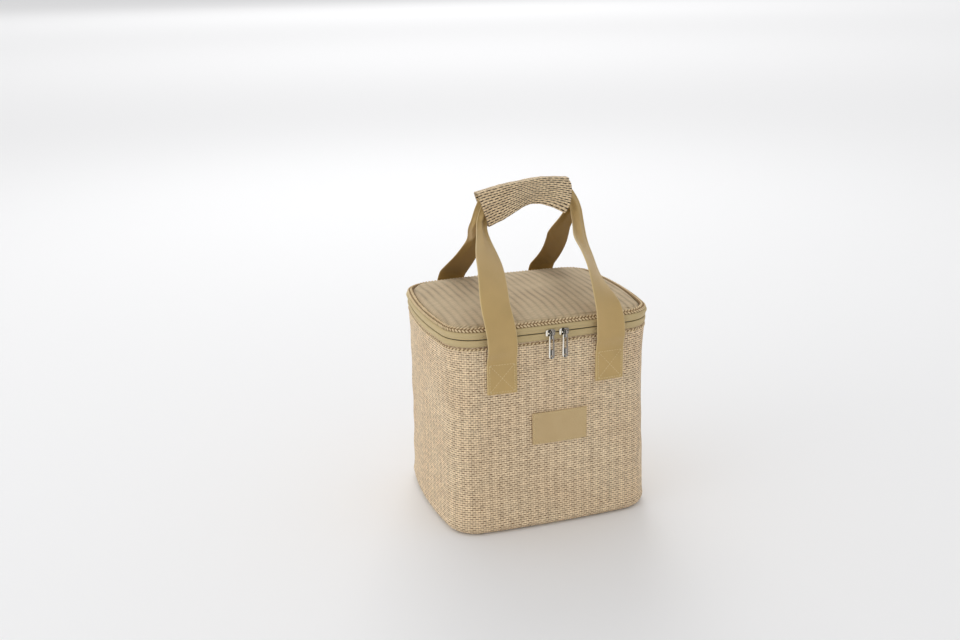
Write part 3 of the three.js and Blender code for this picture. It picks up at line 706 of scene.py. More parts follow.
def puff(grid: Array, pinned: Array, pressure: float, cap: float, frames: int = 20) -> Array:
    """Lets a round sheet of cloth swell under pressure between its pinned points.

    Args:
        grid: Points in millimetres, with normals to the swollen side; its last row joins its first.
        pinned: True where a point is sewn down.
        pressure: Blender's cloth pressure.
        cap: Farthest that a point may move.
        frames: Frames that the cloth is given to settle.

    Returns:
        How far each point moved, in millimetres.
    """
    rows, columns = grid.shape[:2]
    trial = grid_mesh("cloth_trial", grid, np.zeros((rows + 1, columns, 2)), True, False)
    trial.vertex_groups.new(name="sewn").add(np.flatnonzero(pinned.ravel()).tolist(), 1.0, "REPLACE")
    cloth = trial.modifiers.new("Cloth", "CLOTH").settings
    cloth.use_pressure = True
    cloth.uniform_pressure_force = pressure
    cloth.vertex_group_mass = "sewn"
    cloth.effector_weights.gravity = 0
    scene = bpy.context.scene
    for number in range(1, frames + 1):
        scene.frame_set(number)
    swollen = trial.evaluated_get(bpy.context.evaluated_depsgraph_get())
    moved = vertices(swollen.data)[: rows * columns].reshape(grid.shape) / MM - grid
    far = np.linalg.norm(moved, axis=-1, keepdims=True)
    moved *= np.minimum(1, cap / np.maximum(far, 1e-6))
    mesh = trial.data
    bpy.data.objects.remove(trial)
    bpy.data.meshes.remove(mesh)
    scene.frame_set(1)
    return moved


# The bag's outline


@dataclass(frozen=True)
class Plan:
    """Outline at the zip: four shallow bows joined by round corners."""

    width: float = 240.0
    depth: float = 204.0
    front_bow: float = 1250.0
    side_bow: float = 450.0
    corner: float = 34.0

    def arcs(self) -> list[tuple[float, float, float, float, float]]:
        """Centre, radius and both angles of each arc, anticlockwise from the middle of the back."""
        bow_x, bow_y = self.width / 2 - self.side_bow, self.depth / 2 - self.front_bow
        long, short = self.front_bow - self.corner, self.side_bow - self.corner
        span = math.hypot(bow_x, bow_y)
        along = (long * long - short * short + span * span) / (2 * span)
        across = math.sqrt(long * long - along * along)
        ux, uy = bow_x / span, -bow_y / span
        cx, cy = ux * along + uy * across, bow_y + uy * along - ux * across
        side = math.atan2(cy, cx - bow_x)
        bow = math.atan2(cy - bow_y, cx)
        pi = math.pi
        return [
            (0, bow_y, self.front_bow, pi / 2, pi - bow),
            (-cx, cy, self.corner, pi - bow, pi - side),
            (-bow_x, 0, self.side_bow, pi - side, pi + side),
            (-cx, -cy, self.corner, pi + side, pi + bow),
            (0, -bow_y, self.front_bow, pi + bow, 2 * pi - bow),
            (cx, -cy, self.corner, -bow, -side),
            (bow_x, 0, self.side_bow, -side, side),
            (cx, cy, self.corner, side, bow),
            (0, bow_y, self.front_bow, bow, pi / 2),
        ]

    def length(self) -> float:
        """Length of the outline."""
        return sum(r * (b - a) for _, _, r, a, b in self.arcs())

    def zip_start(self) -> float:
        """Distance from the middle of the back to the end of the zip."""
        _, _, radius, start, end = self.arcs()[0]
        return radius * (end - start)

    def at_front(self, x: float) -> float:
        """Distance along the outline to a place on the front."""
        return self.length() / 2 + self.front_bow * math.asin(x / self.front_bow)

    def place(self, s: Array) -> Array:
        """Place and outward direction at distances along the outline.

        Args:
            s: Distances from the middle of the back.

        Returns:
            Rows of x, y, and the normal's x and y.
        """
        s = np.mod(np.asarray(s, float), self.length())
        result = np.zeros((len(s), 4))
        begin = 0.0
        for cx, cy, radius, start, end in self.arcs():
            span = radius * (end - start)
            here = (s >= begin - 1e-9) & (s <= begin + span + 1e-9)
            angle = start + (s[here] - begin) / radius
            nx, ny = np.cos(angle), np.sin(angle)
            result[here] = np.stack([cx + radius * nx, cy + radius * ny, nx, ny], 1)
            begin += span
        return result

    def around(self, s: Array, section: Array, push: Array | float = 0.0) -> Array:
        """Sweeps a section along the outline.

        Args:
            s: Distances along the outline.
            section: Offsets outside the outline and heights.
            push: Extra offset of each point.

        Returns:
            Grid of points, one row for each distance.
        """
        place = self.place(s)
        out = section[None, :, 0] + push
        x = place[:, None, 0] + place[:, None, 2] * out
        y = place[:, None, 1] + place[:, None, 3] * out
        z = np.broadcast_to(section[None, :, 1], x.shape)
        return np.stack([x, y, z], -1)

    def front(self, x: float) -> Array:
        """Place and outward direction at a place on the front."""
        return self.place(np.array([self.at_front(x)]))[0]

    def even(self, count: int) -> Array:
        """Even distances all the way round the outline."""
        return np.arange(count) * self.length() / count

    def line(self, s: Array, out: float, height: Array | float, lift: float = 0.0) -> tuple[Array, Array]:
        """A line beside the outline.

        Args:
            s: Distances along the outline.
            out: How far the line lies outside the outline.
            height: Its height.
            lift: How much its directions point up.

        Returns:
            The line's points and the directions away from the bag.
        """
        place = self.place(s)
        points = np.column_stack([place[:, :2] + place[:, 2:] * out, np.broadcast_to(height, len(s))])
        return points, np.column_stack([place[:, 2:], np.full(len(s), lift)])

    def size(self, inset: float) -> tuple[float, float]:
        """Width and depth in metres, moved in by a distance."""
        return (self.width - 2 * inset) * MM, (self.depth - 2 * inset) * MM

    def area(self, inset: float, count: int = 400) -> float:
        """Area in square metres inside the outline, moved in by a distance."""
        x, y, _ = self.line(self.even(count), -inset, 0)[0].T
        return abs(float(np.sum(x * np.roll(y, -1) - y * np.roll(x, -1)))) / 2 * MM * MM


PLAN = Plan()


def band(
    name: str, section: Section, spacing: float, start: float = 0.0, end: float | None = None,
    push: Callable | None = None,
) -> Piece:
    """A closed section swept along the outline, all the way round or from start to end.

    Args:
        name: The piece's name.
        section: Offsets and heights in order.
        spacing: Distance between two rows.
        start: First distance along the outline.
        end: Last distance, or none to go all the way round.
        push: Function that gives extra offsets for a grid of points.

    Returns:
        The piece, with its map as distance along and distance across.
    """
    whole = end is None
    length = PLAN.length() if whole else end - start
    steps = math.ceil(length / spacing)
    s = start + np.arange(steps + (not whole)) * length / steps
    points = np.array(section)
    grid = PLAN.around(s, points)
    if push is not None:
        grid = PLAN.around(s, points, push(grid))
    v = lengths(np.vstack([points, points[:1]]))
    u = np.append(s, start + length) if whole else s
    uv = np.stack(np.meshgrid(u, v, indexing="ij"), -1)
    return grid_mesh(name, grid, uv, whole, True, Ends.OPEN if whole else Ends.FLAT)


def sheet(path: Sequence[tuple[float, float, float]] | Array, rows: int = SHEET_ROWS) -> Array:
    """Grid of a sheet whose rows run from the middle of one face over its edge to the middle of the other.

    Args:
        path: Share of the way out, offset outside the outline, and height of each point of a row.
        rows: Number of rows round the outline.

    Returns:
        The grid, without the two middle points.
    """
    place = PLAN.place(PLAN.even(rows))
    share, out, height = np.array(path).T
    flat = (place[:, None, :2] + place[:, None, 2:] * out[:, None]) * share[:, None]
    return np.dstack([flat, np.broadcast_to(height, flat.shape[:2])])


def disc(name: str, grid: Array) -> Piece:
    """A sheet's grid as a piece, mapped flat from above."""
    uv = np.concatenate([grid, grid[:1]])[:, :, :2]
    return grid_mesh(name, grid, uv, True, False, Ends.POLES)


# The woven shell and what lies in it


@dataclass(frozen=True)
class Shell:
    """Woven side and base with board, foam and liner."""

    top: float = 213.4
    fabric: float = 1.6
    foam: float = 5.0
    liner: float = 0.8
    board: float = 2.0
    foot_flare: float = 1.6
    waist_flare: float = -1.9
    top_flare: float = -0.7
    foot_radius: float = 10.0
    binding_depth: float = 8.0

    def offset(self, z: Array | float) -> Array | float:
        """Offset of the woven side outside the outline at a height."""
        t = np.asarray(z) / self.top
        foot = self.foot_flare * (1 - t) * (1 - 2 * t)
        return foot + self.waist_flare * 4 * t * (1 - t) + self.top_flare * t * (2 * t - 1)

    def wall(self, inward: float, low: float, high: float, spacing: float) -> Section:
        """Points up the side, moved inwards from its face."""
        heights = np.linspace(low, high, math.ceil((high - low) / spacing) + 1)
        return [(float(self.offset(z)) - inward, float(z)) for z in heights]

    def slump(self, grid: Array) -> Array:
        """Soft unevenness of the woven side, none at its sewn edges."""
        z = grid[..., 2]
        held = smooth(z / 26) * smooth((self.top - z) / 24)
        return held * (0.75 * ripple(grid, 95, 3) + 0.3 * ripple(grid, 34, 8))

    def side(self) -> None:
        """The woven side, turned under at its foot and folded over at its top."""
        centre = self.foot_flare - self.foot_radius
        edge = self.fabric / 2
        outer = arc(centre, self.foot_radius, self.foot_radius, -1, 0, 10)
        inner = arc(centre, self.foot_radius, self.foot_radius - self.fabric, -1, 0, 10)
        outer += self.wall(0, self.foot_radius, self.top - edge, 4)[1:]
        inner += self.wall(self.fabric, self.foot_radius, self.top - edge, 16)[1:]
        fold = arc(float(self.offset(self.top)) - edge, self.top - edge, edge, 0, 2, 6)
        section = [*outer, *fold[1:-1], *inner[::-1]]
        piece = band("side_cloth", section, 3.0, push=self.slump)
        PLAN.length() * MM
        dress(piece, SIDE_CLOTH, "bag", "body_side_fabric")

    def flat_piece(self, name: str, inset: float, low: float, thickness: float) -> Piece:
        """A flat layer with the bag's outline and softened edges."""
        shares = (0.15, 0.35, 0.6, 0.8, 0.95)
        r = min(thickness / 2, 1.2)
        turn = arc(-r, low + r, r, -1, 0, 3) + arc(-r, low + thickness - r, r, 0, 1, 3)
        path = [(share, -inset, low) for share in shares] + [(1.0, u - inset, v) for u, v in turn]
        path += [(share, -inset, low + thickness) for share in shares[::-1]]
        return disc(name, sheet(path, rows=160))

    def base(self) -> None:
        """Base cloth and base foam; the board stays as it is."""
        inset = self.foot_radius - self.foot_flare + CLEAR
        low = self.fabric + CLEAR + self.board + CLEAR
        cloth = self.flat_piece("base_cloth", inset, 0, self.fabric)
        size, area = PLAN.size(inset), PLAN.area(inset)
        dress(cloth, SIDE_CLOTH, "bag", "base_fabric")
        foam = self.flat_piece("base_pad", inset, low, self.foam)
        dress(foam, FOAM, "bag", "base_foam")
        cover("base_board", BOARD)

    def lining(self) -> None:
        """Wall foam, the liner tub and the tape over their edge."""
        floor = self.fabric + self.board + self.foam + 3 * CLEAR
        face = self.fabric + CLEAR
        high = self.top - CLEAR
        walls = self.wall(face, floor, high, 12) + self.wall(face + self.foam, floor, high, 12)[::-1]
        pad = band("wall_pad", walls, 5.0)
        dress(pad, FOAM, "bag", "wall_foam")
        face += self.foam + CLEAR
        shares = (0.2, 0.45, 0.7, 0.88, 0.97)
        outer = self.wall(face, floor, high, 6)
        inner = self.wall(face + self.liner, floor + self.liner, high, 6)
        path = [(share, outer[0][0], floor) for share in shares]
        path += [(1.0, u, z) for u, z in outer + inner[::-1]]
        path += [(share, inner[0][0], floor + self.liner) for share in shares[::-1]]
        grid = sheet(path)
        held = smooth((high - grid[..., 2]) / 20) * smooth((grid[..., 2] - floor) / 12)
        crease = 0.35 * ripple(grid, 30, 21) * held
        grid[..., :2] += crease[..., None] * PLAN.place(PLAN.even(SHEET_ROWS))[:, None, 2:]
        dress(disc("liner_film", grid), FILM, "bag", "liner_tub")
        outside = self.top_flare - self.fabric - CLEAR
        inside = self.top_flare - face - self.liner - CLEAR
        back = inside - self.liner
        cap = self.top + self.liner
        low = self.top - self.binding_depth
        profile = [(outside, self.top), (outside, cap), (back, cap)]
        profile += [(back, low), (inside, low), (inside, self.top)]
        dress(band("mouth_tape", soften(profile, 0.4), 4.0), BIAS, "bag", "rim_binding")

    def build(self) -> None:
        """Makes every piece of the shell."""
        self.base()
        self.side()
        self.lining()


SHELL = Shell()


# Stitches and straw grains


@cache
def stitch_tree() -> Tree:
    """Geometry Nodes that set a grain on every point, laid along one direction and facing another."""
    tree = bpy.data.node_groups.new("Grains on points", "GeometryNodeTree")
    made = tree.interface
    made.new_socket("Geometry", in_out="INPUT", socket_type="NodeSocketGeometry")
    for name in ("Length", "Width", "Height", "Slant", "Spread"):
        made.new_socket(name, in_out="INPUT", socket_type="NodeSocketFloat")
    made.new_socket("Seed", in_out="INPUT", socket_type="NodeSocketInt")
    made.new_socket("Material", in_out="INPUT", socket_type="NodeSocketMaterial")
    made.new_socket("Geometry", in_out="OUTPUT", socket_type="NodeSocketGeometry")
    given = add_node(tree, "NodeGroupInput").outputs

    def node(kind: str, inputs: dict, output: int = 0, **settings: object) -> Socket:
        """One output of a new node."""
        return add_node(tree, kind, inputs, **settings).outputs[output]

    def stored(name: str) -> Socket:
        """A direction that is stored on the points."""
        return node("GeometryNodeInputNamedAttribute", {"Name": name}, data_type="FLOAT_VECTOR")

    size = node("ShaderNodeCombineXYZ", {0: given["Length"], 1: given["Width"], 2: given["Height"]})
    bead = node("GeometryNodeMeshUVSphere", {"Segments": 8, "Rings": 4, "Radius": 0.5})
    grain = node("GeometryNodeSetShadeSmooth", {"Geometry": bead})
    facing = node("FunctionNodeAlignRotationToVector", {"Vector": stored("out")}, axis="Z")
    along = {"Rotation": facing, "Vector": stored("along")}
    laid = node("FunctionNodeAlignRotationToVector", along, axis="X", pivot_axis="Z")
    chance = node("FunctionNodeRandomValue", {2: -1.0, 3: 1.0, "Seed": given["Seed"]}, 1, data_type="FLOAT")
    swing = {0: chance, 1: given["Spread"], 2: given["Slant"]}
    angle = node("ShaderNodeMath", swing, operation="MULTIPLY_ADD")
    turn = node("FunctionNodeAxisAngleToRotation", {"Axis": (0, 0, 1), "Angle": angle})
    turned = node("FunctionNodeRotateRotation", {"Rotation": laid, "Rotate By": turn}, rotation_space="LOCAL")
    swell = node("ShaderNodeMath", {0: chance, 1: 0.12, 2: 1.0}, operation="MULTIPLY_ADD")
    scale = node("ShaderNodeVectorMath", {0: size, "Scale": swell}, operation="SCALE")
    placing = {"Points": given["Geometry"], "Instance": grain, "Rotation": turned, "Scale": scale}
    real = node("GeometryNodeRealizeInstances", {0: node("GeometryNodeInstanceOnPoints", placing)})
    dressed = node("GeometryNodeSetMaterial", {"Geometry": real, "Material": given["Material"]})
    add_node(tree, "NodeGroupOutput", {0: dressed})
    return tree


@dataclass
class Grains:
    """Rows of stitches or straw grains on one body, gathered and then made by one tree."""

    name: str
    body: str
    finish: Finish
    size: tuple[float, float, float]
    slant: float = 0.0
    spread: float = 0.08
    seed: int = 5
    points: list[Array] = field(default_factory=list)
    along: list[Array] = field(default_factory=list)
    out: list[Array] = field(default_factory=list)

    def add_line(self, line: Array, normals: Array, pitch: float, closed: bool = False) -> None:
        """Sets grains at an even pitch on a line.

        Args:
            line: Points of the line in millimetres.
            normals: Direction away from the cloth at each point.
            pitch: Distance between two grains.
            closed: Whether the line closes on itself.
        """
        if closed:
            line, normals = np.vstack([line, line[:1]]), np.vstack([normals, normals[:1]])
        far = lengths(line)
        count = max(1, round(far[-1] / pitch))
        at = (np.arange(count) + 0.5) * far[-1] / count

        def between(rows: Array, shift: float = 0.0) -> Array:
            """Values of the line's rows at the grains, or a little before or after them."""
            return np.stack([np.interp(at + shift, far, rows[:, k]) for k in range(3)], 1)

        self.points.append(between(line))
        self.along.append(unit(between(line, 0.3) - between(line, -0.3)))
        self.out.append(unit(between(normals)))

    def make(self) -> None:
        """Runs the tree on the gathered points and sets the plain mesh on its body."""
        tree = stitch_tree()
        mesh = bpy.data.meshes.new(self.name)
        mesh.from_pydata((np.vstack(self.points) * MM).tolist(), [], [])
        for name, rows in (("along", self.along), ("out", self.out)):
            attribute = mesh.attributes.new(name, "FLOAT_VECTOR", "POINT")
            attribute.data.foreach_set("vector", np.vstack(rows).astype(np.float32).ravel())
        seeds = link(self.name + "_seeds", mesh)
        modifier = seeds.modifiers.new("Grains", "NODES")
        modifier.node_group = tree
        length, width, height = (c * MM for c in self.size)
        values = {
            "Length": length,
            "Width": width,
            "Height": height,
            "Slant": math.radians(self.slant),
            "Spread": self.spread,
            "Seed": self.seed,
            "Material": material(self.finish),
        }
        for item in tree.interface.items_tree:
            if item.name in values and item.in_out == "INPUT":
                modifier[item.identifier] = values[item.name]
        graph = bpy.context.evaluated_depsgraph_get()
        result = bpy.data.meshes.new_from_object(seeds.evaluated_get(graph))
        bpy.data.objects.remove(seeds)
        for name in ("along", "out"):
            if name in result.attributes:
                result.attributes.remove(result.attributes[name])
        dress(link(self.name, result), self.finish, self.body)


# Lid


@dataclass(frozen=True)
class Lid:
    """Domed woven panel with its seam band, foam and liner."""

    seam: float = 233.4
    dome: float = 5.0
    flatness: float = 6.0
    shoulder: float = 0.7
    inset: float = 6.8
    drop: float = 3.6
    binding: float = 3.8
    groove: float = 1.5

    def height(self, share: Array | float) -> Array | float:
        """Height of the dome above the seam at a share of the way out."""
        return self.dome * (1 - np.asarray(share) ** self.flatness) ** self.shoulder

    def creases(self, x: Array, y: Array) -> Array:
        """Folds that run forward from under the left of the back handle, and slow swells."""
        width, front, back = 2.6, -10, 92
        flat = np.stack([x, y, np.zeros_like(x)], -1)
        total = 0.5 * ripple(flat, 85, 31) + 0.16 * ripple(flat, 28, 32)
        for start, lean, size in ((-62, 0.24, 0.7), (-52, 0.3, 0.9), (-41, 0.36, 0.8), (-29, 0.3, 0.5)):
            middle = start + lean * (70 - y)
            fade = smooth((y - front) / 50) * smooth((back - y) / 12)
            total += size * np.exp(-(((x - middle) / width) ** 2)) * fade
        return total

    def shares(self, rings: int) -> Array:
        """Shares of the way out at which a domed sheet has its rings."""
        return np.linspace(0.06, 1, rings) ** 0.8

    def sheet_grid(self, inset: float, top: float, thickness: float, rounded: float, rings: int) -> Array:
        """Grid of a domed sheet from the middle of its top over its edge to the middle below."""
        shares = self.shares(rings)
        outs = np.where(shares < 1, -inset, -inset - rounded)
        above = np.column_stack([shares, outs, top + self.height(shares)])
        turn = np.array(arc(-rounded, 0, thickness / 2, 1, -1, 4))[1:-1]
        rim = np.column_stack([np.ones(len(turn)), turn[:, 0] - inset, top - thickness / 2 + turn[:, 1]])
        return sheet(np.vstack([above, rim, above[::-1] - (0, 0, thickness)]))

    def panel(self) -> None:
        """The woven top: swollen by its foam, creased, and drawn down into the seam."""
        rings = 26
        grid = self.sheet_grid(self.inset + CLEAR, self.seam, SHELL.fabric, 0.8, rings)
        top = grid[:, :rings]
        pinned = np.zeros(top.shape[:2], bool)
        pinned[:, -2:] = True
        swell = puff(top, pinned, pressure=1.0, cap=1.6)
        share = self.shares(rings)
        held = smooth((1 - share) / 0.12)
        rise = self.creases(top[..., 0], top[..., 1]) * held - self.groove * smooth((share - 0.97) / 0.03)
        top += swell
        top[..., 2] += rise
        grid[:, rings : 1 - rings, 2] -= self.groove
        piece = disc("lid_cloth", grid)
        size, area = PLAN.size(self.inset), PLAN.area(self.inset)
        dress(piece, LID_CLOTH, "lid", "lid_top_panel")

    def inside(self) -> None:
        """Foam, liner and the tape round the lid's inner edge."""
        inset = self.inset + CLEAR + SHELL.fabric
        foam_top = self.seam - SHELL.fabric - CLEAR - self.groove * 0.5
        pad = disc("lid_pad", self.sheet_grid(inset, foam_top, SHELL.foam - 1, 1.0, 14))
        dress(pad, FOAM, "lid", "lid_foam")
        film_top = self.seam - SHELL.fabric - 2 * CLEAR - SHELL.foam
        grid = self.sheet_grid(inset, film_top, SHELL.liner, 0.3, 20)
        fade = smooth((1 - np.hypot(grid[..., 0] / 111, grid[..., 1] / 93)) / 0.3)
        grid[..., 2] += 0.3 * ripple(grid, 26, 41) * fade
        dress(disc("lid_film", grid), FILM, "lid", "lid_liner")
        face = -SHELL.fabric - 2 * CLEAR
        back = face - SHELL.liner
        high = self.seam - self.drop - CLEAR
        low = self.seam - self.drop - self.binding
        profile = [(face, high), (face, low), (back, low), (back, high)]
        dress(band("lid_tape", soften(profile, 0.25), 4.0), BIAS, "lid", "lid_binding")

    def curve(self, inward: float, angle: float) -> tuple[float, float]:
        """Point on the band's quarter ellipse; angle runs from 0 at the seam to 1 at the zip."""
        turn = angle * math.pi / 2
        reach, rise = self.inset - inward, self.drop - inward
        return (-self.inset + reach * math.sin(turn), self.seam - self.drop + rise * math.cos(turn))

    def side_band(self) -> None:
        """The band between seam and zip, with two rows of slanted straw that read as a braid."""
        steps = np.linspace(0, 1, 9)
        outer = [self.curve(0.5, a) for a in steps]
        inner = [self.curve(SHELL.fabric, a) for a in steps]
        outer[0] = (outer[0][0], outer[0][1] - 0.4)
        piece = band("lid_band", [*outer, *inner[::-1]], 4.0)
        size = (PLAN.length() * MM, float(lengths(np.array(outer))[-1]) * MM)
        size[0] * size[1]
        # A darker straw over the whole band: painted shadow between the braid's grains
        dress(piece, BRAID_SHADE, "lid", "lid_side_band")
        for row, (angle, slant) in enumerate(((0.26, 38.0), (0.74, -38.0))):
            out, height = self.curve(0.15, angle)
            lift = 1.4 * math.cos(angle * math.pi / 2)
            braid = Grains(f"lid_braid_{row + 1}", "lid", GRAIN_STRAW, (4.4, 2.0, 1.5), slant, seed=11 + row)
            braid.add_line(*PLAN.line(PLAN.even(LINE_ROWS), out, height, lift), 3.8, closed=True)
            braid.make()

    def build(self) -> None:
        """Makes every piece of the lid."""
        self.inside()
        self.panel()
        self.side_band()


LID = Lid()


# Zip


@dataclass(frozen=True)
class ZipTrack:
    """Tapes, coils, the cloth hinge at the back and the sliders with their pulls."""

    height: float = 221.6
    gap: float = 1.2
    tape: float = 0.9
    bulge: float = 1.5
    skew: float = 2.0
    lower_bulge: float = 0.7
    tuck: float = 1.0
    coil_pitch: float = 1.4
    tooth: tuple[float, float, float] = (0.85, 2.0, 1.5)

    def face(self, low: float, high: float, bulge: float, tuck: float, skew: float) -> Section:
        """Outer face of a tape that swells between its edges."""
        steps = np.linspace(0, 1, 13)
        return [(bulge * math.sin(math.pi * t**skew) - tuck * (1 - t), low + (high - low) * t) for t in steps]

    def tapes(self) -> None:
        """Upper and lower tape round the zip, and the woven strips that meet at the back."""
        start, whole = PLAN.zip_start(), PLAN.length()
        foot, crest = SHELL.top + CLEAR, LID.seam - LID.drop - CLEAR
        lower = self.face(foot, self.height - self.gap / 2, self.lower_bulge, self.tuck, 1.0)
        upper = self.face(self.height + self.gap / 2, crest, self.bulge, 0.0, self.skew)
        for name, body, face in (("lower", "bag", lower), ("upper", "lid", upper)):
            section = [*face, *[(u - self.tape, v) for u, v in face[::-1]]]
            tape = band(f"{name}_tape", section, 4.0, start, whole - start)
            dress(tape, TAPE, body, f"{name}_zip_tape")
        inset = 2 * CLEAR
        first, last = whole - start + inset, whole + start - inset
        profile = [(0, foot), (0, crest), (-SHELL.fabric, crest), (-SHELL.fabric, foot)]
        piece = band("back_hinge_cloth", refine(soften(profile, 0.4, 2), 1.0), 4.0, first, last)
        (last - first) * MM
        y = PLAN.depth / 2
        nodes = ("hinge_strip_lower", "hinge_strip_upper")
        bend(piece, SIDE_CLOTH, ("bag", "lid"), nodes, (0, y, foot + 1), (0, y, crest - 1))

    def coils(self) -> None:
        """Nylon coils behind the tape edges: a core with one loop for each tooth."""
        start = PLAN.zip_start() + 2
        s = np.arange(start, PLAN.length() - start, 0.7)
        _, width, height = self.tooth
        behind = self.tape + CLEAR + height / 2
        for side, name, body in ((-1, "lower", "bag"), (1, "upper", "lid")):
            z = self.height + side * (self.gap / 2 + width / 2)
            teeth = Grains(f"{name}_coil_teeth", body, NYLON, self.tooth, spread=0.02, seed=3)
            teeth.add_line(*PLAN.line(s, -behind, z), self.coil_pitch)
            teeth.make()
            cover(f"{name}_zip_coil", NYLON)

    def metal(self) -> None:
        """Sliders and pulls with their edges rounded off as cast and polished parts have."""
        for side in ("left", "right"):
            for part, width in (("slider", 0.3), ("pull", 0.45)):
                node = f"{part}_{side}"
                piece = link(f"{node}_polished", bpy.data.objects[node].data.copy())
                polish(piece, width * MM)
                dress(piece, NICKEL, node, node)

    def build(self) -> None:
        """Makes every piece of the zip."""
        self.tapes()
        self.coils()
        self.metal()


def polish(piece: Piece, width: float) -> None:
    """Merges a faceted copy, rounds its sharp edges in a near-white copy of the plate as painted highlight,
    and stores its share of width.
    """
    piece.data.materials.clear()
    for finish in (NICKEL, NICKEL_HIGHLIGHT):
        piece.data.materials.append(material(finish))
    shape = bmesh.new()
    shape.from_mesh(piece.data)
    bmesh.ops.remove_doubles(shape, verts=shape.verts, dist=1e-7)
    bmesh.ops.dissolve_limit(shape, angle_limit=math.radians(1), verts=shape.verts, edges=shape.edges)
    shape.to_mesh(piece.data)
    shape.free()
    bevel = piece.modifiers.new("Rounded edges", "BEVEL")
    bevel.width = width
    bevel.segments = 2
    # The rounded edges take the second material, the painted highlight
    bevel.material = 1
    bevel.limit_method = "ANGLE"
    bevel.angle_limit = math.radians(38)
    graph = bpy.context.evaluated_depsgraph_get()
    mesh = bpy.data.meshes.new_from_object(piece.evaluated_get(graph))
    piece.modifiers.clear()
    piece.data = mesh
    # Share of width, which places the painted reflections
    across = vertices(mesh)[:, 0]
    mark(mesh, "across", (across - across.min()) / np.ptp(across))
    mesh.shade_smooth()
    mesh.set_sharp_from_angle(angle=math.radians(40))


# Handles


@dataclass(frozen=True)
class Knee:
    """How a leg crosses the lid's edge: its height, its slant in degrees and its reach down and up."""

    z: float
    lean: float
    down: float
    up: float


@dataclass(frozen=True)
class Fall:
    """How one strap falls: where it spreads below the grip, how it sways sideways and how it twists."""

    begin: float = 8.0
    over: float = 70.0
    sway: float = 0.0
    height: float = 270.0
    span: float = 30.0
    twist: float = 0.0
    reach: float = 14.0


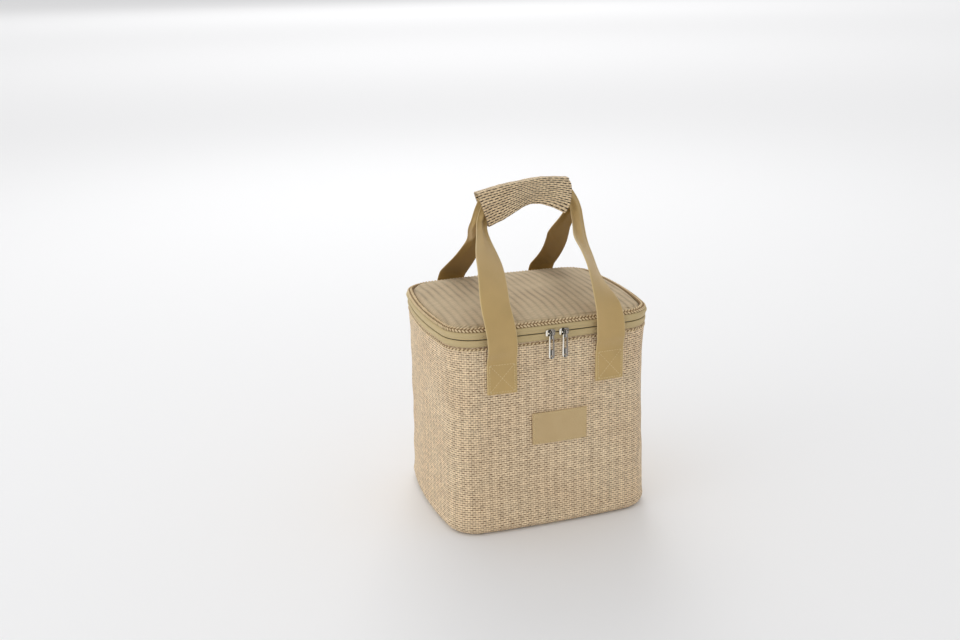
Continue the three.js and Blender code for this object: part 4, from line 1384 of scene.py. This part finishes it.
@dataclass(frozen=True)
class Handles:
    """Two lengths of webbing, each from a sewn foot over the lid's edge and through the grip."""

    width: float = 32.0
    web: float = 1.8
    x: float = 60.0
    patch_length: float = 34.0
    patch_bottom: float = 161.0
    layer: float = 1.4
    knees: tuple[Knee, Knee] = (
        Knee(z=248.0, lean=30.0, down=13.0, up=56.0),
        Knee(z=240.0, lean=50.0, down=13.0, up=45.0),
    )
    bow: float = 2.0
    gathered: float = 12.5
    gather_run: float = 22.0
    gather_sink: float = 12.0
    grip_x: float = 3.0
    grip_y: float = 8.0
    grip_z: float = 346.0
    grip_radius: float = 150.0
    grip_half: float = 54.0
    gap: float = 1.0
    stagger: float = 3.0
    front_falls: tuple[Fall, Fall] = (
        Fall(sway=-5.0, height=254.0, span=26.0),
        Fall(begin=14.0, over=80.0, sway=-8.0, height=274.0, span=40.0, twist=-1.1, reach=24.0),
    )
    back_falls: tuple[Fall, Fall] = (
        Fall(begin=14.0, over=100.0, sway=16.0, height=272.0, span=52.0, twist=-0.3),
        Fall(begin=2.0, over=36.0, sway=7.0, height=262.0, span=34.0),
    )
    splay: float = 12.0
    # Painted shade on the webbing's inner face: the height it reaches, and the slanting line where it ends on
    # the back handle's left leg
    painted_shade_top: float = 345.0
    shade_edge_x: float = -52.0
    shade_edge_z: float = 287.0
    hang_low: float = 290.0
    hang_run: float = 40.0
    tilt: float = 0.085
    sag: float = 2.5
    pinch: float = 12.0
    pinch_x: float = 16.0
    pinch_reach: float = 26.0
    pinch_depth: float = 40.0
    crown_rise: float = 20.0
    splay_from: float = 8.0
    splay_run: float = 40.0
    foot_run: float = 15.0

    @property
    def patch_top(self) -> float:
        """Height at which a strap leaves its sewn end."""
        return self.patch_bottom + self.patch_length

    @property
    def patch_wall(self) -> float:
        """Offset of a sewn end's back."""
        return float(SHELL.offset(self.patch_top)) + CLEAR

    @property
    def patch_face(self) -> float:
        """Offset of a sewn end's outer face."""
        return self.patch_wall + 2 * self.layer + CLEAR / 2

    @property
    def strap_y(self) -> float:
        """Distance of a free strap's foot from the middle of the bag."""
        return -PLAN.front(self.x - self.width / 2)[1] + self.patch_face + CLEAR + self.web / 2

    def arch(self, angles: Array, behind: float = 0.0) -> Array:
        """Points on the grip's arch at angles from its middle, on its middle plane or behind it."""
        x = self.grip_x + self.grip_radius * np.sin(angles)
        z = self.grip_z - self.grip_radius * (1 - np.cos(angles))
        return np.stack([x, np.full_like(x, self.grip_y + behind), z], -1)

    def fall(self, side: int, mirror: int) -> Fall:
        """How the strap on one side of one handle falls."""
        return (self.back_falls if side > 0 else self.front_falls)[mirror > 0]

    def hang(self, points: Array) -> Array:
        """Tilts what is in the grip, draws it in below its middle, and splays its right end below."""
        x, z = points[..., 0], points[..., 2]
        moved = points.copy()
        held = smooth((z - self.hang_low) / self.hang_run)
        near = np.exp(-(((x - self.pinch_x) / self.pinch_reach) ** 2))
        crown = self.grip_z + self.crown_rise
        sag = self.sag * np.clip(1 - ((x - self.grip_x) / self.grip_half) ** 2, 0, 1)
        drawn = self.pinch * near * np.clip((crown - z) / self.pinch_depth, 0, 1)
        moved[..., 2] = z + held * (self.tilt * (x - self.grip_x) - sag + drawn)
        arch = crown - 4 - (x - self.grip_x) ** 2 / (2 * self.grip_radius)
        deep = np.sqrt(np.clip((arch - z) / self.width, 0, 1))
        right = smooth((x - self.grip_x - self.splay_from) / self.splay_run)
        moved[..., 0] = x + held * self.splay * right * deep
        return moved

    def grip_end(self, side: int, mirror: int) -> float:
        """Angle at which a strap leaves the grip."""
        return mirror * (self.grip_half - side * mirror * self.stagger) / self.grip_radius

    def in_grip(self, side: int) -> tuple[Array, Array, Array]:
        """Points, width directions and shares of the full width of the part in the grip."""
        first, last = self.grip_end(side, -1), self.grip_end(side, 1)
        run = self.gather_run / self.grip_radius
        stops = np.linspace(0, run, 9)[:-1]
        angles = np.concatenate([first + stops, np.linspace(first + run, last - run, 25), last - stops[::-1]])
        near = np.clip(1 - np.minimum(angles - first, last - angles) / run, 0, 1)
        up = np.stack([np.sin(angles), np.zeros_like(angles), np.cos(angles)], -1)
        middle = self.arch(angles, side * (self.gap + self.web / 2))
        points = middle - up * (self.gather_sink * near**2)[:, None]
        return points, up, 1 - (1 - self.gathered / self.width) * smooth(near)

    def leg(self, side: int, mirror: int, start: Array) -> Array:
        """Middle line of a leg from the grip to its foot."""
        knee = self.knees[side > 0]
        steep = self.grip_end(side, mirror) + mirror * math.atan(2 * self.gather_sink / self.gather_run)
        outward = mirror * np.array([math.cos(steep), 0, -math.sin(steep)])
        lean = math.radians(knee.lean)
        edge = np.array([mirror * self.x, side * self.strap_y, knee.z])
        down = np.array([0, side * math.sin(lean), -math.cos(lean)])
        foot = np.array([mirror * self.x, side * self.strap_y, self.patch_top + CLEAR])
        reach = self.fall(side, mirror).reach
        settle = np.array([0, side * self.bow, knee.down])
        upper = bezier(start, start + outward * reach, edge - down * knee.up, edge, 60)
        lower = bezier(edge, edge + down * knee.down, foot + settle, foot, 24)
        return np.vstack([upper, lower])

    def widths(self, points: Array, first: Array, before: Array, mirror: int, twist: float) -> Array:
        """Width directions down a leg, carried from the grip, twisted and eased into the foot."""
        line = np.vstack([before, points])
        ahead = unit(np.vstack([line[2:] - line[:-2], (line[-1] - line[-2])[None]]))
        width, carried = first, []
        for direction in ahead:
            width = unit(width - direction * (width @ direction))
            carried.append(width)
        flat = np.array([mirror, 0.0, 0.0])
        turn = math.atan2(np.cross(carried[-1], flat) @ ahead[-1], carried[-1] @ flat)
        share = lengths(points)
        eased = smooth(share / share[-1])
        extra = twist * np.sin(np.clip(share / share[-1] / 0.92, 0, 1) * math.pi) ** 2
        angles = turn * eased + extra
        return np.array([turned(w, a, t) for w, a, t in zip(carried, ahead, angles)])

    def foot(self, side: int, mirror: int) -> tuple[Array, Array]:
        """Sewn end of a strap, from its top down the outer layer, round, and up the inner one."""
        x, y, nx, ny = PLAN.front(mirror * self.x)
        outer = self.patch_face - self.layer / 2
        inner = self.patch_wall + self.layer / 2
        radius = (outer - inner) / 2
        low = self.patch_bottom + radius + self.layer / 2
        path = [(outer, z) for z in np.linspace(self.patch_top - 1, low, 10)]
        path += arc(inner + radius, low, radius, 0, -2, 8)[1:]
        path += [(inner, z) for z in np.linspace(low, self.patch_top, 8)[1:]]
        points = np.array([(x + nx * u, (y + ny * u) * -side, z) for u, z in path])
        across = np.array([-ny, nx * -side, 0.0]) * mirror
        return points, np.tile(across, (len(points), 1))

    def sway(self, side: int, mirror: int, points: Array) -> Array:
        """A leg moved sideways where its strap hangs off true, with nothing moved at the grip."""
        fall, moved = self.fall(side, mirror), points.copy()
        away = smooth(lengths(points) / 50)
        moved[:, 0] += fall.sway * away * np.exp(-(((points[:, 2] - fall.height) / fall.span) ** 2))
        return moved

    def run(self, side: int) -> tuple[Array, Array, Array]:
        """Whole middle line of a handle, its width directions and its shares of the full width."""
        grip, up, share = self.in_grip(side)
        halves = []
        for mirror, near in ((-1, 0), (1, -1)):
            points = self.sway(side, mirror, self.leg(side, mirror, grip[near]))
            fall = self.fall(side, mirror)
            widths = self.widths(points, up[near], grip[near], mirror, fall.twist)
            far = lengths(np.vstack([grip[near], points]))[1:]
            shares = 1 - (1 - self.gathered / self.width) * (1 - smooth((far - fall.begin) / fall.over))
            low, low_widths = self.foot(side, mirror)
            settle = smooth((self.patch_top - points[:, 2]) / self.foot_run + 1)[:, None]
            onto = np.column_stack([np.tile(low[0, :2], (len(points), 1)), points[:, 2]])
            points = points * (1 - settle) + onto * settle
            widths = widths * (1 - settle) + low_widths[:1] * settle
            whole_shares = np.append(shares, np.ones(len(low)))
            halves.append((np.vstack([points, low]), np.vstack([widths, low_widths]), whole_shares))
        (left, left_w, left_s), (right, right_w, right_s) = halves
        whole = np.vstack([left[::-1], grip, right])
        return whole, np.vstack([left_w[::-1], up, right_w]), np.concatenate([left_s[::-1], share, right_s])

    def strap(self, side: int, name: str, body: str, nodes: Sequence[str]) -> None:
        """One handle as a single length of webbing, bending where it leaves the bag."""
        line, widths, shares = self.run(side)
        ahead = unit(np.gradient(line, axis=0))
        across = unit(widths - ahead * np.einsum("ij,ij->i", widths, ahead)[:, None])
        thick = np.cross(ahead, across)
        far = lengths(line)
        half, flat = self.width / 2, self.layer / 2
        u = np.linspace(-half + 0.5, half - 0.5, 17)
        edge = [(half - 0.15, flat * 0.6), (half, 0.0), (half - 0.15, -flat * 0.6)]
        section = [(a, flat) for a in u] + edge + [(a, -flat) for a in u[::-1]] + [(-a, -b) for a, b in edge]
        su, sv = (np.array(section)[:, k] for k in (0, 1))
        free = smooth((line[:, 2] - self.patch_top - 8) / 40)
        curl = free * (0.5 * np.sin(far / 37) + 0.3 * np.sin(far / 19 + side))
        pinch = (1 - shares) / (1 - self.gathered / self.width)
        folds = np.sin(su / half * math.pi * 1.5 + 0.6)
        rise = curl[:, None] * ((su / half) ** 2 - 0.4) + 1.5 * pinch[:, None] * folds
        sideways = across[:, None] * (shares[:, None] * su)[..., None]
        grid = line[:, None] + sideways + thick[:, None] * (sv + rise)[..., None]
        # The gathered part is evened out along the strap, pass by pass
        ease, passes = (0.5 * smooth(pinch * 2))[1:-1, None, None], 14
        for _ in range(passes):
            grid[1:-1] += ease * ((grid[:-2] + grid[2:]) / 2 - grid[1:-1])
        uv = np.stack(np.meshgrid(far, np.append(su, su[0]), indexing="ij"), -1)
        piece = grid_mesh(name, self.hang(grid), uv, False, True, Ends.FLAT)
        # Stores where painted shade darkens the inner side
        mark(piece.data, "painted_shade", self.painted_shade(piece.data, side))
        y, z = side * self.strap_y, self.patch_top
        bend(piece, STRAP, ("bag", body), nodes, (0, y, z - 3), (0, y, z + 9))

    def painted_shade(self, mesh: Mesh, side: int) -> Array:
        """How far the inner side is darkened as painted shade: up to a slanting line on the back handle's
        left leg that stands in for a fold.
        """
        x, _, height = (vertices(mesh) / MM).T
        facing = vertices(mesh, "normal") @ np.array([0.0, -0.6 * side, -0.8])
        under = smooth(facing / 0.5) * (height > self.patch_top)
        if side < 0:
            return 0.4 * under * smooth((self.painted_shade_top - height) / 70)
        left = smooth((self.shade_edge_z + 1.7 * (x - self.shade_edge_x) - height) / 7)
        return under * np.where(x < 0, 0.88 * left, smooth((self.painted_shade_top + 40 - height) / 40))

    def stitches(self) -> None:
        """A stitched box with a cross on each sewn end."""
        half, high, low = self.width / 2 - 2.6, self.patch_top - 1.6, self.patch_bottom + 2.6
        box = [(-half, low), (half, low), (half, high), (-half, high)]
        lines = [*zip(box, [*box[1:], box[0]]), (box[0], box[2]), (box[1], box[3])]
        rows = Grains("strap_end_stitches", "bag", THREAD, (2.6, 0.75, 0.6), spread=0.05, seed=7)
        out = self.patch_face + 0.05
        for side in (-1, 1):
            for mirror in (-1, 1):
                x, y, nx, ny = PLAN.front(mirror * self.x)
                normal = np.array([nx, -side * ny, 0.0])
                for start, end in lines:
                    a, z = np.linspace(start, end, 12).T
                    line = np.column_stack([x + nx * out - ny * a, -side * (y + ny * out + nx * a), z])
                    rows.add_line(line, np.tile(normal, (len(line), 1)), 3.1)
        rows.make()

    def build(self) -> None:
        """Makes both handles and their stitches."""
        for side, name in ((-1, "front"), (1, "back")):
            nodes = (f"{name}_handle_webbing", f"{name}_left_strap_end", f"{name}_right_strap_end")
            self.strap(side, f"{name}_strap", f"{name}_handle", nodes)
        self.stitches()


def bezier(a: Array, b: Array, c: Array, d: Array, steps: int) -> Array:
    """Points on a cubic curve, without its first."""
    t = (np.arange(steps) + 1)[:, None] / steps
    return a * (1 - t) ** 3 + b * 3 * t * (1 - t) ** 2 + c * 3 * t * t * (1 - t) + d * t**3


def turned(vector: Array, axis: Array, angle: float) -> Array:
    """A vector turned about an axis."""
    part = np.cross(axis, vector) * math.sin(angle) + vector * math.cos(angle)
    return part + axis * (axis @ vector) * (1 - math.cos(angle))


HANDLES = Handles()


# Grip wrap


@dataclass(frozen=True)
class GripWrap:
    """Woven wrap closed round both straps, with its pad and hook and loop strips."""

    half_length: float = 48.0
    cloth: float = 1.8
    room: float = 6.0
    hook: float = 0.8
    lap: float = 10.0
    pad: float = 2.6
    margin: float = 5.0
    round_corner: float = 5.0
    strip_inset: float = 3.0
    lap_bend: float = 0.8
    fold_high: float = 354.5
    fold_low: float = 338.0

    def sweep(
        self, name: str, section: Section, half_length: float, plump: float = 0.0, flare: float = 0.1
    ) -> Piece:
        """A section swept along the grip's arch.

        Args:
            name: The piece's name.
            section: Distances behind the middle plane and above the arch.
            half_length: Half of the length along the arch.
            plump: Size of the soft unevenness.
            flare: How much taller the section is at its ends than in the middle.

        Returns:
            The piece, with its map as distance along and across.
        """
        steps = 72
        angles = np.linspace(-1, 1, steps + 1) * half_length / HANDLES.grip_radius
        points = np.array(section)
        ends = np.abs(np.linspace(-1, 1, steps + 1)) ** 1.6
        tall = 1 + flare * (ends - 1)
        up = np.stack([np.sin(angles), np.zeros_like(angles), np.cos(angles)], -1)
        base = HANDLES.arch(angles)
        grid = base[:, None] + up[:, None] * (points[None, :, 1] * tall[:, None])[..., None]
        grid[..., 1] += points[None, :, 0]
        if plump:
            middle = points.mean(0)
            out = unit(points - middle)
            swell = plump * (0.8 * ripple(grid, 30, 51) + 0.5 * ripple(grid, 13, 52))
            grid[..., 1] += swell * out[None, :, 0]
            grid += up[:, None] * (swell * out[None, :, 1])[..., None]
        far = angles * HANDLES.grip_radius
        v = lengths(np.vstack([points, points[:1]]))
        uv = np.stack(np.meshgrid(far, v, indexing="ij"), -1)
        return grid_mesh(name, HANDLES.hang(grid), uv, False, True, Ends.FLAT)

    def channel(self, back: float, height: float, radius: float) -> Section:
        """A path open to the front that goes round both back corners."""
        corner = arc(back - radius, height - radius, radius, 1, 0, 6)
        upper = [(-self.room, height), *corner]
        return refine([*upper, *[(u, -v) for u, v in upper[::-1]]], 2.0, closed=False)

    def build(self) -> None:
        """Makes the wrap, its flap, its pad and the strips that hold it shut."""
        inside = HANDLES.width / 2 + 2 * CLEAR
        outside = inside + self.cloth
        outer = self.channel(self.room + self.cloth, outside, self.round_corner)
        inner = self.channel(self.room, inside, self.round_corner - self.cloth)
        wrap = self.sweep("wrap_cloth", [*outer, *inner[::-1]], self.half_length, 0.35)
        dress(wrap, WRAP_CLOTH, "back_handle", "grip_wrap_panel")
        strips = outside + CLEAR
        lap_in = strips + 2 * self.hook + 2 * CLEAR
        lap_out = lap_in + self.cloth
        front = -self.room - CLEAR
        start, end = -self.room + CLEAR, -self.room + CLEAR + self.lap
        bend_u, bend_v = front + self.lap_bend, -lap_in + self.lap_bend
        hem = outside - self.cloth
        section = [
            *arc(front, hem, self.cloth, 1, 2, 5),
            *refine([(front - self.cloth, hem), (front - self.cloth, bend_v)], 2.0, closed=False)[1:-1],
            *arc(bend_u, bend_v, self.lap_bend + self.cloth, 2, 3, 5),
            (end + CLEAR, -lap_out),
            (end + CLEAR, -lap_in),
            *arc(bend_u, bend_v, self.lap_bend, 3, 2, 5),
        ]
        flap = self.sweep("wrap_flap_cloth", section, self.half_length, 0.3)
        tall = outside + lap_out + self.lap
        tall * MM
        folds = ((0, 0, self.fold_high), (0, 0, self.fold_low))
        bend(flap, WRAP_CLOTH, ("back_handle", "wrap_flap"), ("grip_wrap_flap",), *folds)
        short = self.half_length - self.strip_inset
        face, half = self.room - CLEAR, inside - self.margin
        profile = [(face - self.pad, -half), (face, -half), (face, half), (face - self.pad, half)]
        pad = self.sweep("grip_padding", soften(profile, 1.0), short)
        dress(pad, FOAM, "back_handle", "grip_pad")
        for name, body, node, top in (
            ("loop_tape", "back_handle", "grip_loop_strip", strips),
            ("hook_tape", "wrap_flap", "grip_hook_strip", strips + self.hook + CLEAR),
        ):
            bottom = -top - self.hook
            profile = [(start, bottom), (end, bottom), (end, -top), (start, -top)]
            dress(self.sweep(name, soften(profile, 0.2, 1), short), PILE, body, node)


# Label


@dataclass(frozen=True)
class Label:
    """Bare woven patch on the front with a row of stitches inside its edge."""

    width: float = 61.6
    height: float = 35.5
    x: float = 3.8
    z: float = 115.8
    thickness: float = 1.2
    seam: float = 2.0

    def build(self) -> None:
        """Makes the patch and its stitches."""
        low, high = self.z - self.height / 2, self.z + self.height / 2
        wall = max(float(SHELL.offset(low)), float(SHELL.offset(high))) + CLEAR
        face = wall + self.thickness
        start, end = (PLAN.at_front(self.x + side * self.width / 2) for side in (-1, 1))
        section = refine(soften([(wall, low), (face, low), (face, high), (wall, high)], 0.5, 2), 3.0)
        piece = band("label_patch", section, 3.0, start, end)
        size = ((end - start) * MM, self.height * MM)
        dress(piece, PATCH, "bag", "front_label")
        rows = Grains("label_stitches", "bag", THREAD, (2.0, 0.65, 0.5), spread=0.05, seed=9)
        left, right = start + self.seam, end - self.seam
        z0, z1 = low + self.seam, high - self.seam
        corners = [(left, z0), (right, z0), (right, z1), (left, z1)]
        for a, b in zip(corners, [*corners[1:], corners[0]]):
            s, z = (np.linspace(a[k], b[k], 40) for k in (0, 1))
            rows.add_line(*PLAN.line(s, face + 0.05, z), 2.5)
        rows.make()


def top_row() -> None:
    """The row of slanted straw along the top edge of the side."""
    z = SHELL.top - 2.2
    back = float(SHELL.offset(z)) - 0.3
    face = back + 0.45
    ground = [(back, z - 1.5), (face, z - 1.2), (face, z + 1.2), (back, z + 1.5)]
    # A darker strip under the row: painted shadow between its grains
    dress(band("side_edge_shade", soften(ground, 0.2, 1), 4.0), BRAID_SHADE, "bag")
    row = Grains("side_edge_braid", "bag", GRAIN_STRAW, (3.9, 1.9, 1.3), 26.0, seed=17)
    row.add_line(*PLAN.line(PLAN.even(LINE_ROWS), face, z, lift=0.15), 4.2, closed=True)
    row.make()


# Stage


@dataclass(frozen=True)
class View:
    """The photograph's viewpoint, in millimetres and degrees round the middle of the bag."""

    azimuth: float = -17.5
    elevation: float = 17.53
    roll: float = -1.343
    distance: float = 1234.4
    across: float = -50.02
    above: float = 80.24
    height: float = 120.0
    focal_px: float = 1077.05
    frame_px: float = 960.0
    sensor: float = 36.0

    def build(self) -> None:
        """Sets the camera."""
        az, el, roll = (math.radians(a) for a in (self.azimuth, self.elevation, self.roll))
        back = Vector((math.sin(az) * math.cos(el), -math.cos(az) * math.cos(el), math.sin(el)))
        right = Vector((math.cos(az), math.sin(az), 0))
        up = back.cross(right)
        right, up = right * math.cos(roll) + up * math.sin(roll), up * math.cos(roll) - right * math.sin(roll)
        place = Vector((0, 0, self.height)) + back * self.distance + right * self.across + up * self.above
        lens = bpy.data.cameras.new("Photo camera")
        lens.lens = self.focal_px / self.frame_px * self.sensor
        lens.sensor_width = self.sensor
        lens.clip_end = 2000
        turn = Matrix((right, up, back)).transposed().to_4x4()
        camera = link("Photo camera", lens)
        camera.matrix_world = Matrix.Translation(place * MM) @ turn
        bpy.context.scene.camera = camera


@dataclass(frozen=True)
class Lamp:
    """A soft box that looks at a point of the bag."""

    name: str
    place: tuple[float, float, float]
    size: float
    power: float
    aim: tuple[float, float, float] = (0.0, 0.0, 0.15)

    def build(self) -> None:
        """Sets the lamp."""
        light = bpy.data.lights.new(self.name, "AREA")
        light.shape = "SQUARE"
        light.size = self.size
        light.energy = self.power
        lamp = link(self.name, light)
        way = Vector(self.place) - Vector(self.aim)
        lamp.matrix_world = Matrix.Translation(self.place) @ way.to_track_quat("Z", "Y").to_matrix().to_4x4()


def stage() -> None:
    """Pale floor, soft boxes, and a white surround that is a little brighter on the left and at the back."""
    mesh = bpy.data.meshes.new("floor")
    reach = 400.0
    corners = [(-reach, -reach, 0), (reach, -reach, 0), (reach, reach, 0), (-reach, reach, 0)]
    mesh.from_pydata(corners, [], [(0, 1, 2, 3)])
    paper = bpy.data.materials.new("Seamless studio paper")
    paper.use_nodes = True
    shader = paper.node_tree.nodes["Principled BSDF"]
    shader.inputs["Base Color"].default_value = linear("f1f1f2")
    shader.inputs["Roughness"].default_value = 0.9
    mesh.materials.append(paper)
    link("floor", mesh)
    world = bpy.data.worlds.new("Studio")
    world.use_nodes = True
    tree = world.node_tree
    surround = tree.nodes["Background"]
    surround.inputs[0].default_value = linear("ffffff")
    place = add_node(tree, "ShaderNodeTexCoord").outputs["Generated"]
    side = add_node(tree, "ShaderNodeVectorMath", {0: place, 1: (-0.75, 0.6, 0.25)}, operation="DOT_PRODUCT")
    strength = Value(tree, side.outputs["Value"]) * 0.1 + 0.75
    tree.links.new(strength.socket, surround.inputs[1])
    bpy.context.scene.world = world
    bpy.context.scene.view_settings.view_transform = "Standard"
    for lamp in (
        Lamp("Key soft box", (-2.3, -0.4, 0.8), 1.6, 8.0),
        Lamp("Rear soft box", (0.3, 1.9, 1.9), 1.4, 11.0, (0.2, 0.9, 0.0)),
        Lamp("Near backdrop box", (2.0, 7.0, 5.0), 4.0, 62.0, (2.0, 7.0, 0.0)),
        Lamp("Far backdrop box", (6.0, 20.0, 14.0), 8.0, 880.0, (6.0, 20.0, 0.0)),
    ):
        lamp.build()


def main() -> None:
    """Builds the bag piece by piece on its frame."""
    logging.basicConfig(level=logging.INFO, format="%(message)s")
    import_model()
    View().build()
    stage()
    SHELL.build()
    LID.build()
    ZipTrack().build()
    top_row()
    HANDLES.build()
    GripWrap().build()
    Label().build()


if __name__ == "__main__":
    main()
